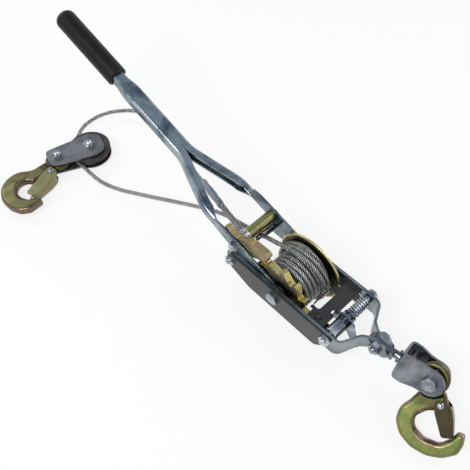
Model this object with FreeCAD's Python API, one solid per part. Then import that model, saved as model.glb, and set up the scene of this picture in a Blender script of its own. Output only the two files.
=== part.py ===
"""Come along winch: fork handle, ratchet drum, snatch block and two slip hooks.

Every shape is made about the drum axle (X to the rear hook, Y to the far side,
Z up) and then moved so that the origin is the middle of the footprint.
"""
import FreeCAD
import Part
import math
import os

V = FreeCAD.Vector

# Fits
RUN = 0.3
SEAT = 0.15

# Frame
GROUND = 48.4
STRAP_OUT = 38.6
STRAP_T = 3.0
STRAP_IN = STRAP_OUT - STRAP_T
STRAP_TOP = 16.0
STRAP_BOTTOM = -14.0
STRAP_FRONT = -82.0
SIDE_T = 2.0
SIDE_OUT = STRAP_OUT + SIDE_T
TAIL_X = 118.0
TAIL_END = 143.0
TAIL_Z = 7.0
TAIL_GAP = 4.0
TAIL_HEIGHT = 22.0
LINER_T = 1.5
LINER_FRONT = 26.0
LINER_REAR = 70.0
WEB_TOP = 10.0
WEB_T = 2.0
SLOT_LENGTH = 31.0
SLOT_WIDTH = 9.0

# Fixings
AXLE_D = 10.0
BOLT_D = 8.0
HEAD_T = 4.7
FRONT_X = -71.8
FRONT_Z = 5.3
REAR_X = 81.6
REAR_Z = 7.8
CLAMP_X = 127.2
SPACER_D = 12.0
CABLE_SPACE = 4.0

# Handle
HANDLE_ANGLE = 18.5
HANDLE_LENGTH = 458.9
GRIP_LENGTH = 115.0
GRIP_D = 27.5
NECK_LEAD = 25.9
ARM_OUT = 34.6
ARM_T = 3.0
ARM_IN = ARM_OUT - ARM_T
FORK_BEND = 137.0
FORK_SPLIT = 209.0
SHAFT_WIDTH = 23.0
SHAFT_HEIGHT = 16.0
NECK_WIDTH = 17.0
NECK_START = HANDLE_LENGTH - GRIP_LENGTH - NECK_LEAD
WALL_T = 3.0
PAWL_S = 78.2
DRIVE_LIFT = 5.8
HOLDING_LIFT = 6.6
BARREL_R = 7.8

# Drum
WHEEL_R = 44.5
ROOT_R = 36.0
TEETH = 12
TOOTH_PHASE = 2.0
LEAF_T = 1.75
LEAF_GAP = 0.4
LEAVES = 4
WHEEL_T = LEAVES * LEAF_T + (LEAVES - 1) * LEAF_GAP
WHEEL_Y0 = -30.7
WHEEL_Y1 = WHEEL_Y0 + WHEEL_T
FLANGE_Y0 = 23.0
FLANGE_T = 3.0
CORE_R = 28.1
HUB_R = 12.0

# Cable
CABLE_D = 6.0
WIND_R = CORE_R + CABLE_D / 2 + 0.2
LAYER_STEP = CABLE_D + 0.45
WIND_START = 140.0
WIND_OUT = 110.2
FIRST_TURNS = 5.0 + (240.2) / 360.0
CLIMB_TURNS = 0.25
SECOND_TURNS = 2.0
WIND_Y0 = WHEEL_Y1 + CABLE_D / 2 + 0.3
WIND_Y1 = FLANGE_Y0 - CABLE_D / 2 - 0.4
FIRST_PITCH = (WIND_Y1 - WIND_Y0) / FIRST_TURNS
SECOND_PITCH = 6.8

# Swivel, yoke and hooks
STUD_NECK_D = 10.0
STUD_HEAD_D = 17.0
STUD_HEAD_T = 5.0
YOKE_WEB_X = 155.0
YOKE_T = 4.0
YOKE_WIDTH = 36.0
YOKE_HEIGHT = 34.0
YOKE_PAD_R = 15.5
YOKE_PIN_X = 195.0
YOKE_EAR_IN = 9.8
YOKE_ROLL = -30.0
STUD_YAW = 8.5
HOOK_TILT = -19.0
HOOK_T = 13.0
EYE_T = 8.0
EYE_R = 18.5
EYE_HOLE_R = 10.5
SHOULDER_R = 18.8
REAR_HOOK_REACH = 86.0
BLOCK_HOOK_REACH = 104.0
REAR_HOOK_DROP = 57.0
LATCH_T = 1.6

# Snatch block
BLOCK_PLATE_T = 2.5
BLOCK_LOW = 5.2
BLOCK_GAP = 14.0
SHEAVE_X = -373.5
SHEAVE_Y = -41.4
HOOK_PIN_X = -388.9
HOOK_PIN_Y = -87.8
SHEAVE_R = 30.0
CABLE_ON_SHEAVE_R = 27.2
BLOCK_MID = BLOCK_LOW + BLOCK_PLATE_T + BLOCK_GAP / 2 - GROUND

PARTS = {}


def ring(start, axis, outer, inner, length):
    """A tube or disc with a round hole."""
    body = Part.makeCylinder(outer, length, start, axis)
    return body.cut(Part.makeCylinder(inner, length + 2, start - axis, axis))


def cylinder_y(radius, y0, y1, x=0.0, z=0.0):
    return Part.makeCylinder(radius, y1 - y0, V(x, y0, z), V(0, 1, 0))


def cylinder_z(radius, z0, z1, x, y):
    return Part.makeCylinder(radius, z1 - z0, V(x, y, z0), V(0, 0, 1))


def hexagon(across, height, start, axis, turn=0.0):
    """A hexagonal prism with its two faces square to the axis."""
    radius = across / math.sqrt(3)
    points = []
    for index in range(7):
        angle = math.radians(60 * index + turn)
        points.append(V(radius * math.cos(angle), radius * math.sin(angle), 0))
    prism = Part.Face(Part.makePolygon(points)).extrude(V(0, 0, height))
    cone = Part.makeCone(radius * 1.0 + height, radius * 0.90, height, V(0, 0, 0))
    prism = prism.common(cone)
    prism.Placement = FreeCAD.Placement(start, FreeCAD.Rotation(V(0, 0, 1), axis))
    return prism


def rounded_wire(points, radii, to_point, closed=True):
    """A wire of lines and tangent arcs through the corners of a polygon."""
    count = len(points)
    if not isinstance(radii, (list, tuple)):
        radii = [radii] * count
    places = [to_point(*p) for p in points]
    starts = []
    ends = []
    mids = []
    for index in range(count):
        here = places[index]
        if not closed and index in (0, count - 1):
            starts.append(here)
            ends.append(here)
            mids.append(None)
            continue
        before = (places[index - 1] - here).normalize()
        after = (places[(index + 1) % count] - here).normalize()
        half = before.getAngle(after) / 2
        radius = radii[index]
        if radius <= 0 or abs(half - math.pi / 2) < 1e-4:
            starts.append(here)
            ends.append(here)
            mids.append(None)
            continue
        reach = radius / math.tan(half)
        centre = here + (before + after).normalize() * (radius / math.sin(half))
        starts.append(here + before * reach)
        ends.append(here + after * reach)
        mids.append(centre + (here - centre).normalize() * radius)
    edges = []
    for index in range(count):
        if mids[index] is not None:
            edges.append(Part.Arc(starts[index], mids[index], ends[index]).toShape())
        if index == count - 1 and not closed:
            break
        a = ends[index]
        b = starts[(index + 1) % count]
        whole = (places[(index + 1) % count] - places[index])
        if (b - a).dot(whole) < -1e-6:
            raise ValueError("corner arcs overlap at " + str(points[index]))
        if (b - a).Length > 1e-5:
            edges.append(Part.LineSegment(a, b).toShape())
    return Part.Wire(edges)


def plate_xz(points, radii, y0, y1):
    """A plate with its outline given in X and Z."""
    wire = rounded_wire(points, radii, lambda x, z: V(x, y0, z))
    return Part.Face(wire).extrude(V(0, y1 - y0, 0))


def plate_xy(points, radii, z0, z1):
    """A plate with its outline given in X and Y."""
    wire = rounded_wire(points, radii, lambda x, y: V(x, y, z0))
    return Part.Face(wire).extrude(V(0, 0, z1 - z0))


def sweep(path, profile):
    """Carry a closed profile along a wire."""
    shell = path.makePipeShell([profile], True, False)
    return shell


def ribbon(points, radii, thickness, z0, z1):
    """A bent strip that stands on edge, following a line in plan."""
    path = rounded_wire(points, radii, lambda x, y: V(x, y, z0), closed=False)
    first = V(points[0][0], points[0][1], z0)
    second = V(points[1][0], points[1][1], z0)
    along = (second - first).normalize()
    side = V(-along.y, along.x, 0) * (thickness / 2)
    up = V(0, 0, z1 - z0)
    corners = [first - side, first + side, first + side + up, first - side + up, first - side]
    return sweep(path, Part.makePolygon(corners))


def tube_of(path_edges, radius):
    """A round bar or cable along joined edges."""
    wire = Part.Wire(path_edges)
    start = path_edges[0].valueAt(path_edges[0].FirstParameter)
    along = path_edges[0].tangentAt(path_edges[0].FirstParameter)
    profile = Part.Wire([Part.makeCircle(radius, start, along)])
    return sweep(wire, profile)


def mirror_y(shape):
    return shape.mirror(V(0, 0, 0), V(0, 1, 0))


def turned(shape, centre, axis, degrees):
    copy = shape.copy()
    copy.rotate(centre, axis, degrees)
    return copy


def rounded(shape, radius, chosen):
    """Round the edges that the given test chooses."""
    edges = [edge for edge in shape.Edges if chosen(edge)]
    return shape.makeFillet(radius, edges)


def cross_bolt(x, z, diameter, y_head, y_nut, across, head, spare=1.2):
    """A hexagon bolt across the frame, with its head at the near side."""
    shank = cylinder_y(diameter / 2, y_head - 0.5, y_nut + spare, x, z)
    top = hexagon(across, head, V(x, y_head, z), V(0, -1, 0))
    return shank.fuse(top)


def cross_nut(x, z, diameter, y0, across, height):
    """A hexagon nut on a bolt that lies across the frame."""
    body = hexagon(across, height, V(x, y0, z), V(0, 1, 0))
    return body.cut(cylinder_y(diameter / 2 + SEAT / 2, y0 - 1, y0 + height + 1, x, z))


def polar(radius, degrees):
    angle = math.radians(degrees)
    return (radius * math.cos(angle), radius * math.sin(angle))


# Frame straps
def make_strap():
    """The near strap: a long flat that turns in behind the drum to the swivel."""
    middle = STRAP_OUT - STRAP_T / 2
    tail = TAIL_GAP + STRAP_T / 2
    line = [(STRAP_FRONT, -middle), (97.0, -middle), (109.0, -12.5), (119.0, -tail), (TAIL_END, -tail)]
    strap = ribbon(line, [0, 11.0, 9.0, 8.0, 0], STRAP_T, STRAP_BOTTOM, TAIL_Z + TAIL_HEIGHT / 2 + 2)
    outline = [
        (STRAP_FRONT, STRAP_BOTTOM), (98.0, STRAP_BOTTOM), (114.0, TAIL_Z - TAIL_HEIGHT / 2),
        (TAIL_END, TAIL_Z - TAIL_HEIGHT / 2), (TAIL_END, TAIL_Z + TAIL_HEIGHT / 2),
        (110.0, TAIL_Z + TAIL_HEIGHT / 2), (100.0, STRAP_TOP), (STRAP_FRONT, STRAP_TOP),
    ]
    side = plate_xz(outline, [9, 25, 25, 10.5, 10.5, 20, 20, 9], -60.0, 10.0)
    strap = strap.common(side)
    holes = [
        (0.0, 0.0, AXLE_D / 2 + SEAT / 2), (FRONT_X, FRONT_Z, BOLT_D / 2 + SEAT / 2),
        (REAR_X, REAR_Z, BOLT_D / 2 + SEAT / 2), (CLAMP_X, TAIL_Z, BOLT_D / 2 + SEAT / 2),
    ]
    for x, z, radius in holes:
        strap = strap.cut(cylinder_y(radius, -60.0, 10.0, x, z))
    return strap


PARTS["near_strap"] = make_strap()
PARTS["far_strap"] = mirror_y(PARTS["near_strap"])


def make_side_plate():
    """The near black cover plate outside the strap."""
    outline = [(-77.0, 12.0), (-77.0, -12.0), (-41.0, -25.7), (68.0, -25.7), (87.0, -2.0), (87.0, 14.0)]
    plate = plate_xz(outline, [5, 6, 10, 10, 8, 7], -SIDE_OUT, -STRAP_OUT)
    for x, z, radius in ((0.0, 0.0, AXLE_D / 2), (FRONT_X, FRONT_Z, BOLT_D / 2), (REAR_X, REAR_Z, BOLT_D / 2)):
        plate = plate.cut(cylinder_y(radius + SEAT / 2, -60.0, 0.0, x, z))
    return plate


PARTS["near_side_plate"] = make_side_plate()
PARTS["far_side_plate"] = mirror_y(PARTS["near_side_plate"])


def make_channel():
    """The black cross channel behind the drum, with its slot and side walls."""
    half = STRAP_IN
    web_x0 = 50.0
    tongue_x0 = 41.3
    notch_x = 63.5
    outline = [
        (LINER_REAR, -half), (LINER_REAR, -11.5), (notch_x, -11.5), (notch_x, -6.0), (LINER_REAR, -6.0),
        (LINER_REAR, half), (web_x0, half), (web_x0, 18.5), (tongue_x0, 18.5),
        (tongue_x0, -18.5), (web_x0, -18.5), (web_x0, -half),
    ]
    corners = [0.5, 1.5, 1, 1, 1.5, 0.5, 0.5, 3, 5, 5, 3, 0.5]
    web = plate_xy(outline, corners, WEB_TOP - WEB_T, WEB_TOP)
    wall = plate_xz(
        [(LINER_FRONT, -13.0), (LINER_REAR, -13.0), (LINER_REAR, WEB_TOP), (LINER_FRONT + 6, WEB_TOP)],
        [3, 3, 0.4, 3], -half, -half + LINER_T)
    body = web.fuse([wall, mirror_y(wall)])
    middle = (47.5, -3.0)
    w = SLOT_WIDTH / 2
    n = SLOT_LENGTH / 2
    slot = plate_xy(
        [(middle[0] - w, middle[1] - n), (middle[0] + w, middle[1] - n),
         (middle[0] + w, middle[1] + n), (middle[0] - w, middle[1] + n)],
        [3.5, 3.5, 3.5, 3.5], WEB_TOP - WEB_T - 2, WEB_TOP + 2)
    body = body.cut(slot)
    return body.removeSplitter()


PARTS["cross_channel"] = make_channel()
RIVET_X = 57.5
RIVET_Y = -25.5


def make_channel_rivet():
    """A domed rivet set in the cross channel."""
    dome = Part.makeSphere(4.6, V(RIVET_X, RIVET_Y, WEB_TOP - 1.2))
    dome = dome.common(cylinder_z(6.0, WEB_TOP, WEB_TOP + 5, RIVET_X, RIVET_Y))
    return dome


PARTS["channel_rivet"] = make_channel_rivet()

# Cross bolts of the frame
PARTS["axle_bolt"] = cross_bolt(0.0, 0.0, AXLE_D, -SIDE_OUT, SIDE_OUT + HEAD_T, 16.0, HEAD_T, 0.0)
PARTS["axle_nut"] = cross_nut(0.0, 0.0, AXLE_D, SIDE_OUT, 16.0, HEAD_T)
PARTS["front_bolt"] = cross_bolt(FRONT_X, FRONT_Z, BOLT_D, -SIDE_OUT, SIDE_OUT + HEAD_T, 13.0, HEAD_T, 0.8)
PARTS["front_nut"] = cross_nut(FRONT_X, FRONT_Z, BOLT_D, SIDE_OUT, 13.0, HEAD_T)
PARTS["rear_bolt"] = cross_bolt(REAR_X, REAR_Z, BOLT_D, -SIDE_OUT, SIDE_OUT + HEAD_T, 13.0, HEAD_T, 0.8)
PARTS["rear_nut"] = cross_nut(REAR_X, REAR_Z, BOLT_D, SIDE_OUT, 13.0, HEAD_T)
CLAMP_OUT = TAIL_GAP + STRAP_T
PARTS["clamp_bolt"] = cross_bolt(CLAMP_X, TAIL_Z, BOLT_D, -CLAMP_OUT, CLAMP_OUT + 6.0, 13.0, 5.3, 0.8)
PARTS["clamp_nut"] = cross_nut(CLAMP_X, TAIL_Z, BOLT_D, CLAMP_OUT, 13.0, 6.0)
EYE_Y = -7.0
NEAR_SPACER_END = EYE_Y - CABLE_SPACE
FAR_SPACER_START = 11.0
PARTS["front_spacer_near"] = ring(
    V(FRONT_X, -STRAP_IN, FRONT_Z), V(0, 1, 0), SPACER_D / 2, BOLT_D / 2 + SEAT / 2, STRAP_IN + NEAR_SPACER_END)
PARTS["front_spacer_far"] = ring(
    V(FRONT_X, FAR_SPACER_START, FRONT_Z), V(0, 1, 0), SPACER_D / 2, BOLT_D / 2 + SEAT / 2,
    STRAP_IN - FAR_SPACER_START)


# Drum
def tooth_outline(outer, root):
    """The saw teeth of the ratchet wheel, as points around the axle."""
    points = []
    for index in range(TEETH):
        face = TOOTH_PHASE + index * 360.0 / TEETH
        points.append(polar(root, face - 24.0))
        points.append(polar(outer, face - 7.0))
        points.append(polar(outer, face - 0.4))
        points.append(polar(root, face + 0.6))
    return points


def make_wheel():
    """The ratchet wheel: four pressed leaves with thin gaps between their rims."""
    radii = [3.0, 1.2, 0.8, 1.6] * TEETH
    leaf_points = tooth_outline(WHEEL_R, ROOT_R)
    core_points = tooth_outline(WHEEL_R - 0.8, ROOT_R - 0.8)
    wheel = plate_xz(core_points, radii, WHEEL_Y0 + 0.2, WHEEL_Y1 - 0.2)
    leaves = []
    for index in range(LEAVES):
        y0 = WHEEL_Y0 + index * (LEAF_T + LEAF_GAP)
        leaves.append(plate_xz(leaf_points, radii, y0, y0 + LEAF_T))
    wheel = wheel.fuse(leaves)
    return wheel.cut(cylinder_y(HUB_R, WHEEL_Y0 - 1, WHEEL_Y1 + 1))


PARTS["ratchet_wheel"] = make_wheel()


def make_far_flange():
    """The plain far flange, with its rim turned a little outward."""
    flange = cylinder_y(GROUND, FLANGE_Y0, FLANGE_Y0 + FLANGE_T)
    flange = rounded(flange, 1.2, lambda e: abs(e.Length - 2 * math.pi * GROUND) < 0.01)
    dish = Part.makeCone(GROUND - 6.0, GROUND - 8.0, 1.0, V(0, FLANGE_Y0, 0), V(0, 1, 0))
    flange = flange.cut(dish.cut(cylinder_y(CORE_R, FLANGE_Y0 - 1, FLANGE_Y0 + 3)))
    return flange.cut(cylinder_y(HUB_R, FLANGE_Y0 - 1, FLANGE_Y0 + FLANGE_T + 1))


PARTS["far_flange"] = make_far_flange()


def make_core():
    """The drum barrel with the hub tube that runs on the axle."""
    core = cylinder_y(CORE_R, WHEEL_Y1, FLANGE_Y0)
    hub = cylinder_y(HUB_R, -ARM_IN + RUN, ARM_IN - RUN)
    return core.fuse(hub).cut(cylinder_y(AXLE_D / 2 + RUN, -50.0, 50.0))


PARTS["drum_core"] = make_core()


def make_cable_clamp():
    """The black clamp that holds the cable's inner end against the drum."""
    outer = WIND_R + CABLE_D / 2 + 0.1
    points = []
    for index in range(9):
        points.append(polar(outer, WIND_START - 4.2 - index * 6.0))
    for index in range(9):
        points.append(polar(CORE_R, WIND_START - 52.2 + index * 6.0))
    sector = plate_xz(points, 0.0, WHEEL_Y1, WIND_Y0 + CABLE_D / 2 - 0.2)
    cap_point = WIND_R * math.cos(math.radians(WIND_START)), WIND_R * math.sin(math.radians(WIND_START))
    back = V(math.sin(math.radians(WIND_START)), 0, -math.cos(math.radians(WIND_START)))
    end = V(cap_point[0], WIND_Y0, cap_point[1]) + back * CABLE_D
    block = Part.makeCylinder(CABLE_D / 2 + 0.1, 9.0, end, back)
    trim = cylinder_y(CORE_R, WHEEL_Y1 - 1, FLANGE_Y0)
    keep = cylinder_y(outer + 0.1, WHEEL_Y1, WIND_Y0 + CABLE_D / 2 - 0.2)
    half = Part.makeBox(80.0, 60.0, 80.0, V(-40, -30, 0))
    half.Placement = FreeCAD.Placement(end, FreeCAD.Rotation(V(0, 0, 1), back))
    clamp = sector.fuse(block).common(keep).common(half.copy()).cut(trim)
    return clamp


def biarc(p0, t0, p1, t1):
    """Two tangent arcs from one point and direction to another."""
    chord = p1 - p0
    total = t0 + t1
    a = 2.0 * (1.0 - t0.dot(t1))
    b = 2.0 * chord.dot(total)
    c = -chord.dot(chord)
    if abs(a) < 1e-9:
        reach = -c / b
    else:
        reach = (-b + math.sqrt(b * b - 4.0 * a * c)) / (2.0 * a)
    q0 = p0 + t0 * reach
    q1 = p1 - t1 * reach
    joint = (q0 + q1) * 0.5
    edges = []
    for start, corner, end in ((p0, q0, joint), (joint, q1, p1)):
        u = (corner - start).normalize()
        w = (end - corner).normalize()
        bend = u.getAngle(w)
        if bend < 1e-5:
            edges.append(Part.LineSegment(start, end).toShape())
            continue
        radius = (corner - start).Length / math.tan(bend / 2)
        to_centre = (w - u).normalize()
        centre = corner + to_centre * (radius / math.cos(bend / 2))
        middle = centre - to_centre * radius
        edges.append(Part.Arc(start, middle, end).toShape())
    return edges


def winding_place(turns):
    """Radius and place along the drum after a number of turns of cable."""
    if turns <= FIRST_TURNS:
        return WIND_R, WIND_Y0 + FIRST_PITCH * turns
    part = (turns - FIRST_TURNS) / CLIMB_TURNS
    if part < 1.0:
        return WIND_R + LAYER_STEP * part * part * (3.0 - 2.0 * part), WIND_Y1
    back = turns - FIRST_TURNS - CLIMB_TURNS
    return WIND_R + LAYER_STEP, WIND_Y1 - SECOND_PITCH * back


def winding_edges():
    """The centre line of the two outer layers of cable on the drum."""
    stops = [FIRST_TURNS * index / 22 for index in range(22)]
    stops += [FIRST_TURNS + CLIMB_TURNS * index / 2 for index in range(2)]
    stops += [FIRST_TURNS + CLIMB_TURNS + SECOND_TURNS * index / 8 for index in range(9)]

    def place(turns):
        radius, y = winding_place(turns)
        x, z = polar(radius, WIND_START + 360.0 * turns)
        return V(x, y, z)

    def heading(turns):
        if turns in (stops[0], stops[-1]):
            x, z = polar(1.0, WIND_START + 360.0 * turns + 90.0)
            return V(x, 0, z)
        step = 0.002
        return (place(turns + step) - place(turns - step)).normalize()

    begin = place(stops[0])
    edges = [Part.LineSegment(begin - heading(stops[0]) * CABLE_D, begin).toShape()]
    for a, b in zip(stops[:-1], stops[1:]):
        edges.extend(biarc(place(a), heading(a), place(b), heading(b)))
    last = place(stops[-1])
    out = heading(stops[-1])
    edges.append(Part.LineSegment(last, last + out * CABLE_D).toShape())
    return edges, last + out * CABLE_D, out


WINDING, OUTLET, OUTWARD = winding_edges()
PARTS["wound_cable"] = tube_of(WINDING, CABLE_D / 2)
PARTS["cable_clamp"] = make_cable_clamp()


# Handle
def handle_to_world(shape):
    return turned(shape, V(0, 0, 0), V(0, 1, 0), HANDLE_ANGLE)


def make_handle_half():
    """The near pressing of the handle: arm, fork and half of the shaft."""
    half = SHAFT_WIDTH / 2
    neck = NECK_WIDTH / 2
    tang_end = HANDLE_LENGTH - 20.0
    line = [
        (20.0, -ARM_OUT), (-FORK_BEND, -ARM_OUT), (-FORK_SPLIT, -half), (-NECK_START, -half),
        (-NECK_START - 17.0, -neck), (-tang_end, -neck),
    ]
    path = rounded_wire(line, [0, 60.0, 60.0, 22.0, 22.0, 0], lambda x, y: V(x, y, 0), closed=False)
    h = SHAFT_HEIGHT / 2
    outline = [
        (0.0, -h), (half, -h), (half, -h + WALL_T), (WALL_T, -h + WALL_T),
        (WALL_T, h - WALL_T), (half, h - WALL_T), (half, h), (0.0, h),
    ]
    profile = rounded_wire(
        outline, [4.5, 0, 0, 1.5, 1.5, 0, 0, 4.5], lambda y, z: V(20.0, -ARM_OUT + y, z))
    body = sweep(path, profile)
    lip = plate_xy(
        [(30.0, -ARM_IN), (-FORK_BEND + 22.0, -ARM_IN), (-FORK_BEND - 14.0, -ARM_IN + 18.0),
         (30.0, -ARM_IN + 18.0)], [0, 16, 0, 0], -30.0, 30.0)
    body = body.cut(lip)
    body = body.cut(Part.makeBox(200.0, 60.0, 60.0, V(-NECK_START - 200.0, 0.0, -30.0)))
    side = [
        (15.0, -14.0), (-15.0, -14.0), (-40.0, -h), (-NECK_START - 4.0, -h), (-NECK_START - 18.0, -8.0),
        (-tang_end, -8.0), (-tang_end, 8.0), (-NECK_START - 18.0, 8.0), (-NECK_START - 4.0, h),
        (-40.0, h), (-15.0, 14.0), (15.0, 14.0),
    ]
    trim = plate_xz(side, [13.5, 30, 30, 8, 8, 3, 3, 8, 8, 30, 30, 13.5], -60.0, 60.0)
    body = body.common(trim)
    body = body.cut(cylinder_y(AXLE_D / 2 + RUN, -60.0, 0.0))
    body = body.cut(cylinder_y(BOLT_D / 2 + SEAT / 2, -60.0, 0.0, -PAWL_S, 0.0))
    return body


HALF = make_handle_half()
PARTS["handle_near_half"] = handle_to_world(HALF)
PARTS["handle_far_half"] = handle_to_world(mirror_y(HALF))


def make_grip():
    """The black grip with a domed tip and a square pocket for the tang."""
    start = HANDLE_LENGTH - GRIP_LENGTH
    body = Part.makeCylinder(GRIP_D / 2, GRIP_LENGTH, V(-start, 0, 0), V(-1, 0, 0))
    tip = [e for e in body.Edges if abs(e.CenterOfMass.x + HANDLE_LENGTH) < 0.01]
    body = body.makeFillet(9.0, tip)
    mouth = [e for e in body.Edges if abs(e.CenterOfMass.x + start) < 0.01 and e.Length > 20]
    body = body.makeFillet(1.5, mouth)
    depth = GRIP_LENGTH - 20.0 + SEAT
    neck = NECK_WIDTH / 2 + SEAT / 2
    pocket = Part.makeBox(depth, 2 * neck, 16.0 + SEAT, V(-start - depth, -neck, -8.0 - SEAT / 2))
    return body.cut(pocket)


PARTS["grip"] = handle_to_world(make_grip())
PAWL_X = -PAWL_S * math.cos(math.radians(HANDLE_ANGLE))
PAWL_Z = PAWL_S * math.sin(math.radians(HANDLE_ANGLE))
PARTS["pawl_bolt"] = cross_bolt(PAWL_X, PAWL_Z, BOLT_D, -ARM_OUT, ARM_OUT + 3.6, 12.0, 3.6, 0.0)
PARTS["pawl_nut"] = cross_nut(PAWL_X, PAWL_Z, BOLT_D, ARM_OUT, 12.0, 3.6)


# Pawls
def arc_points(centre, radius, start, end, count):
    points = []
    for index in range(count + 1):
        x, z = polar(radius, start + (end - start) * index / count)
        points.append((centre[0] + x, centre[1] + z))
    return points


def leaf_stack(points, radii, y0, leaves, inset_shape):
    """Pressed leaves side by side, with a slightly smaller filler between them."""
    stack = []
    for index in range(leaves):
        low = y0 + index * (LEAF_T + LEAF_GAP)
        stack.append(plate_xz(points, radii, low, low + LEAF_T))
    return inset_shape.fuse(stack)


PAWL_Y0 = WHEEL_Y0 - 0.2
PAWL_Y1 = PAWL_Y0 + WHEEL_T


def make_drive_pawl():
    """The drive pawl: leaf stack with nose and thumb tail, and its long barrel."""
    pivot = (PAWL_X, PAWL_Z)
    corner = polar(WHEEL_R, 122.0)
    reach = math.hypot(corner[0] - pivot[0], corner[1] - pivot[1]) - RUN - 0.05
    low_angle = 8.9
    high_angle = 13.2
    nose = arc_points(pivot, reach, low_angle, high_angle, 4)
    points = nose + [
        (-20.3, 41.0), (-18.5, 45.5), (-23.0, 49.5), (-44.0, 50.5), (-60.0, 43.0), (-74.0, 37.0),
        (-83.0, 41.5), (-90.0, 46.0), (-95.0, 40.0), (-88.0, 30.0), (-83.0, 22.0), (-74.0, 15.6),
        (-60.0, 19.0), (-44.0, 24.3), (-37.5, 28.0),
    ]
    radii = [0, 0, 0, 0, 0, 1.5, 2, 3, 10, 30, 10, 8, 3.5, 3.5, 10, 8, 8, 20, 6, 1]
    filler_low = PAWL_Y0 + 0.3
    shrunk = [(pivot[0] + (x - pivot[0]) * 0.975, pivot[1] + (z - pivot[1]) * 0.97) for x, z in points]
    filler = plate_xz(shrunk, radii, filler_low, PAWL_Y1 - 0.3)
    body = leaf_stack(points, radii, PAWL_Y0, LEAVES, filler)
    barrel = cylinder_y(BARREL_R, PAWL_Y1 - 1.0, ARM_IN - RUN, PAWL_X, PAWL_Z)
    body = body.fuse(barrel)
    body = turned(body, V(PAWL_X, 0, PAWL_Z), V(0, 1, 0), -DRIVE_LIFT)
    return body.cut(cylinder_y(BOLT_D / 2 + RUN, -40.0, 40.0, PAWL_X, PAWL_Z))


PARTS["drive_pawl"] = make_drive_pawl()


def coil_edges(centre, radius, y0, pitch, turns, start):
    """The centre line of a coil about an axis that lies across the frame."""
    steps = int(round(4 * turns))
    edges = []

    def place(step):
        angle = start + 360.0 * turns * step / steps
        x, z = polar(radius, angle)
        return V(centre[0] + x, y0 + pitch * turns * step / steps, centre[1] + z)

    def heading(step):
        angle = math.radians(start + 360.0 * turns * step / steps)
        return V(-radius * math.sin(angle), pitch / (2 * math.pi), radius * math.cos(angle)).normalize()

    for step in range(steps):
        edges.extend(biarc(place(step), heading(step), place(step + 1), heading(step + 1)))
    return edges, place(0), heading(0), place(steps), heading(steps)


def make_coil(centre, radius, wire, y0, pitch, turns, start, first_leg, last_leg):
    """A wire coil with a straight leg at each end."""
    edges, a, ta, b, tb = coil_edges(centre, radius, y0, pitch, turns, start)
    edges = [Part.LineSegment(a - ta * first_leg, a).toShape()] + edges
    edges.append(Part.LineSegment(b, b + tb * last_leg).toShape())
    return tube_of(edges, wire / 2)


PARTS["drive_spring"] = make_coil(
    (PAWL_X, PAWL_Z), BARREL_R + 1.3, 1.8, PAWL_Y1 + 1.4, 2.3, 4.5, 150.0, 12.0, 10.0)


def make_holding_pawl():
    """The holding pawl: hub tube, leaf stack finger and round cheek plate."""
    pivot = (REAR_X, REAR_Z)
    corner = polar(WHEEL_R, -28.0)
    reach = math.hypot(corner[0] - pivot[0], corner[1] - pivot[1]) - RUN - 0.05
    start = 180.0 + 27.9
    tip = arc_points(pivot, reach, start, start + 5.7, 4)
    points = tip + [(48.0, -23.5), (62.0, -13.0), (78.0, -3.0), (88.0, 4.0), (83.0, 15.5), (74.0, 9.0),
                    (60.0, 4.0), (46.4, -5.0)]
    radii = [0, 0, 0, 0, 0, 2, 10, 6, 4, 4, 4, 6, 4]
    shrunk = [(pivot[0] + (x - pivot[0]) * 0.975, pivot[1] + (z - pivot[1]) * 0.97) for x, z in points]
    filler = plate_xz(shrunk, radii, PAWL_Y0 + 0.3, PAWL_Y1 - 0.3)
    body = leaf_stack(points, radii, PAWL_Y0, LEAVES, filler)
    body = turned(body, V(REAR_X, 0, REAR_Z), V(0, 1, 0), -HOLDING_LIFT)
    hub = cylinder_y(8.5, PAWL_Y0 - 2.2, -7.5, REAR_X, REAR_Z)
    collar = cylinder_y(10.0, PAWL_Y0 - 2.2, PAWL_Y0 - 0.6, REAR_X, REAR_Z)
    cheek = plate_xz(
        [(REAR_X - 17.0, REAR_Z - 4.0), (REAR_X - 13.0, REAR_Z + 12.0), (REAR_X, REAR_Z + 17.5),
         (REAR_X + 13.0, REAR_Z + 12.0), (REAR_X + 18.0, REAR_Z - 3.0), (REAR_X + 28.0, REAR_Z - 27.0),
         (REAR_X + 20.0, REAR_Z - 30.0), (REAR_X + 6.0, REAR_Z - 11.0)],
        [4, 10, 14, 10, 12, 3.5, 3.5, 8], -9.6, -7.5)
    body = body.fuse([hub, collar, cheek])
    return body.cut(cylinder_y(BOLT_D / 2 + RUN, -40.0, 40.0, REAR_X, REAR_Z))


PARTS["holding_pawl"] = make_holding_pawl()
PARTS["sleeve_nut"] = cross_nut(REAR_X, REAR_Z, BOLT_D, -6.9, 13.0, 6.0)


def make_spring_sleeve():
    """The flanged sleeve that carries the holding spring."""
    sleeve = cylinder_y(5.6, -0.7, STRAP_IN - LINER_T, REAR_X, REAR_Z)
    sleeve = sleeve.fuse(cylinder_y(8.6, 1.0, 3.0, REAR_X, REAR_Z))
    return sleeve.cut(cylinder_y(BOLT_D / 2 + SEAT / 2, -5.0, 40.0, REAR_X, REAR_Z))


PARTS["spring_sleeve"] = make_spring_sleeve()
PARTS["holding_spring"] = make_coil(
    (REAR_X, REAR_Z), 6.7, 1.6, 6.5, 3.6, 6.0, 90.0, 9.0, 10.0)


# Swivel and yoke
CLAMP_CENTRE = V(CLAMP_X, 0, TAIL_Z)


def swivelled(shape):
    """Carry a piece from the straight line of the winch to the bent line of the stud."""
    return turned(shape, CLAMP_CENTRE, V(0, 0, 1), STUD_YAW)


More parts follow.
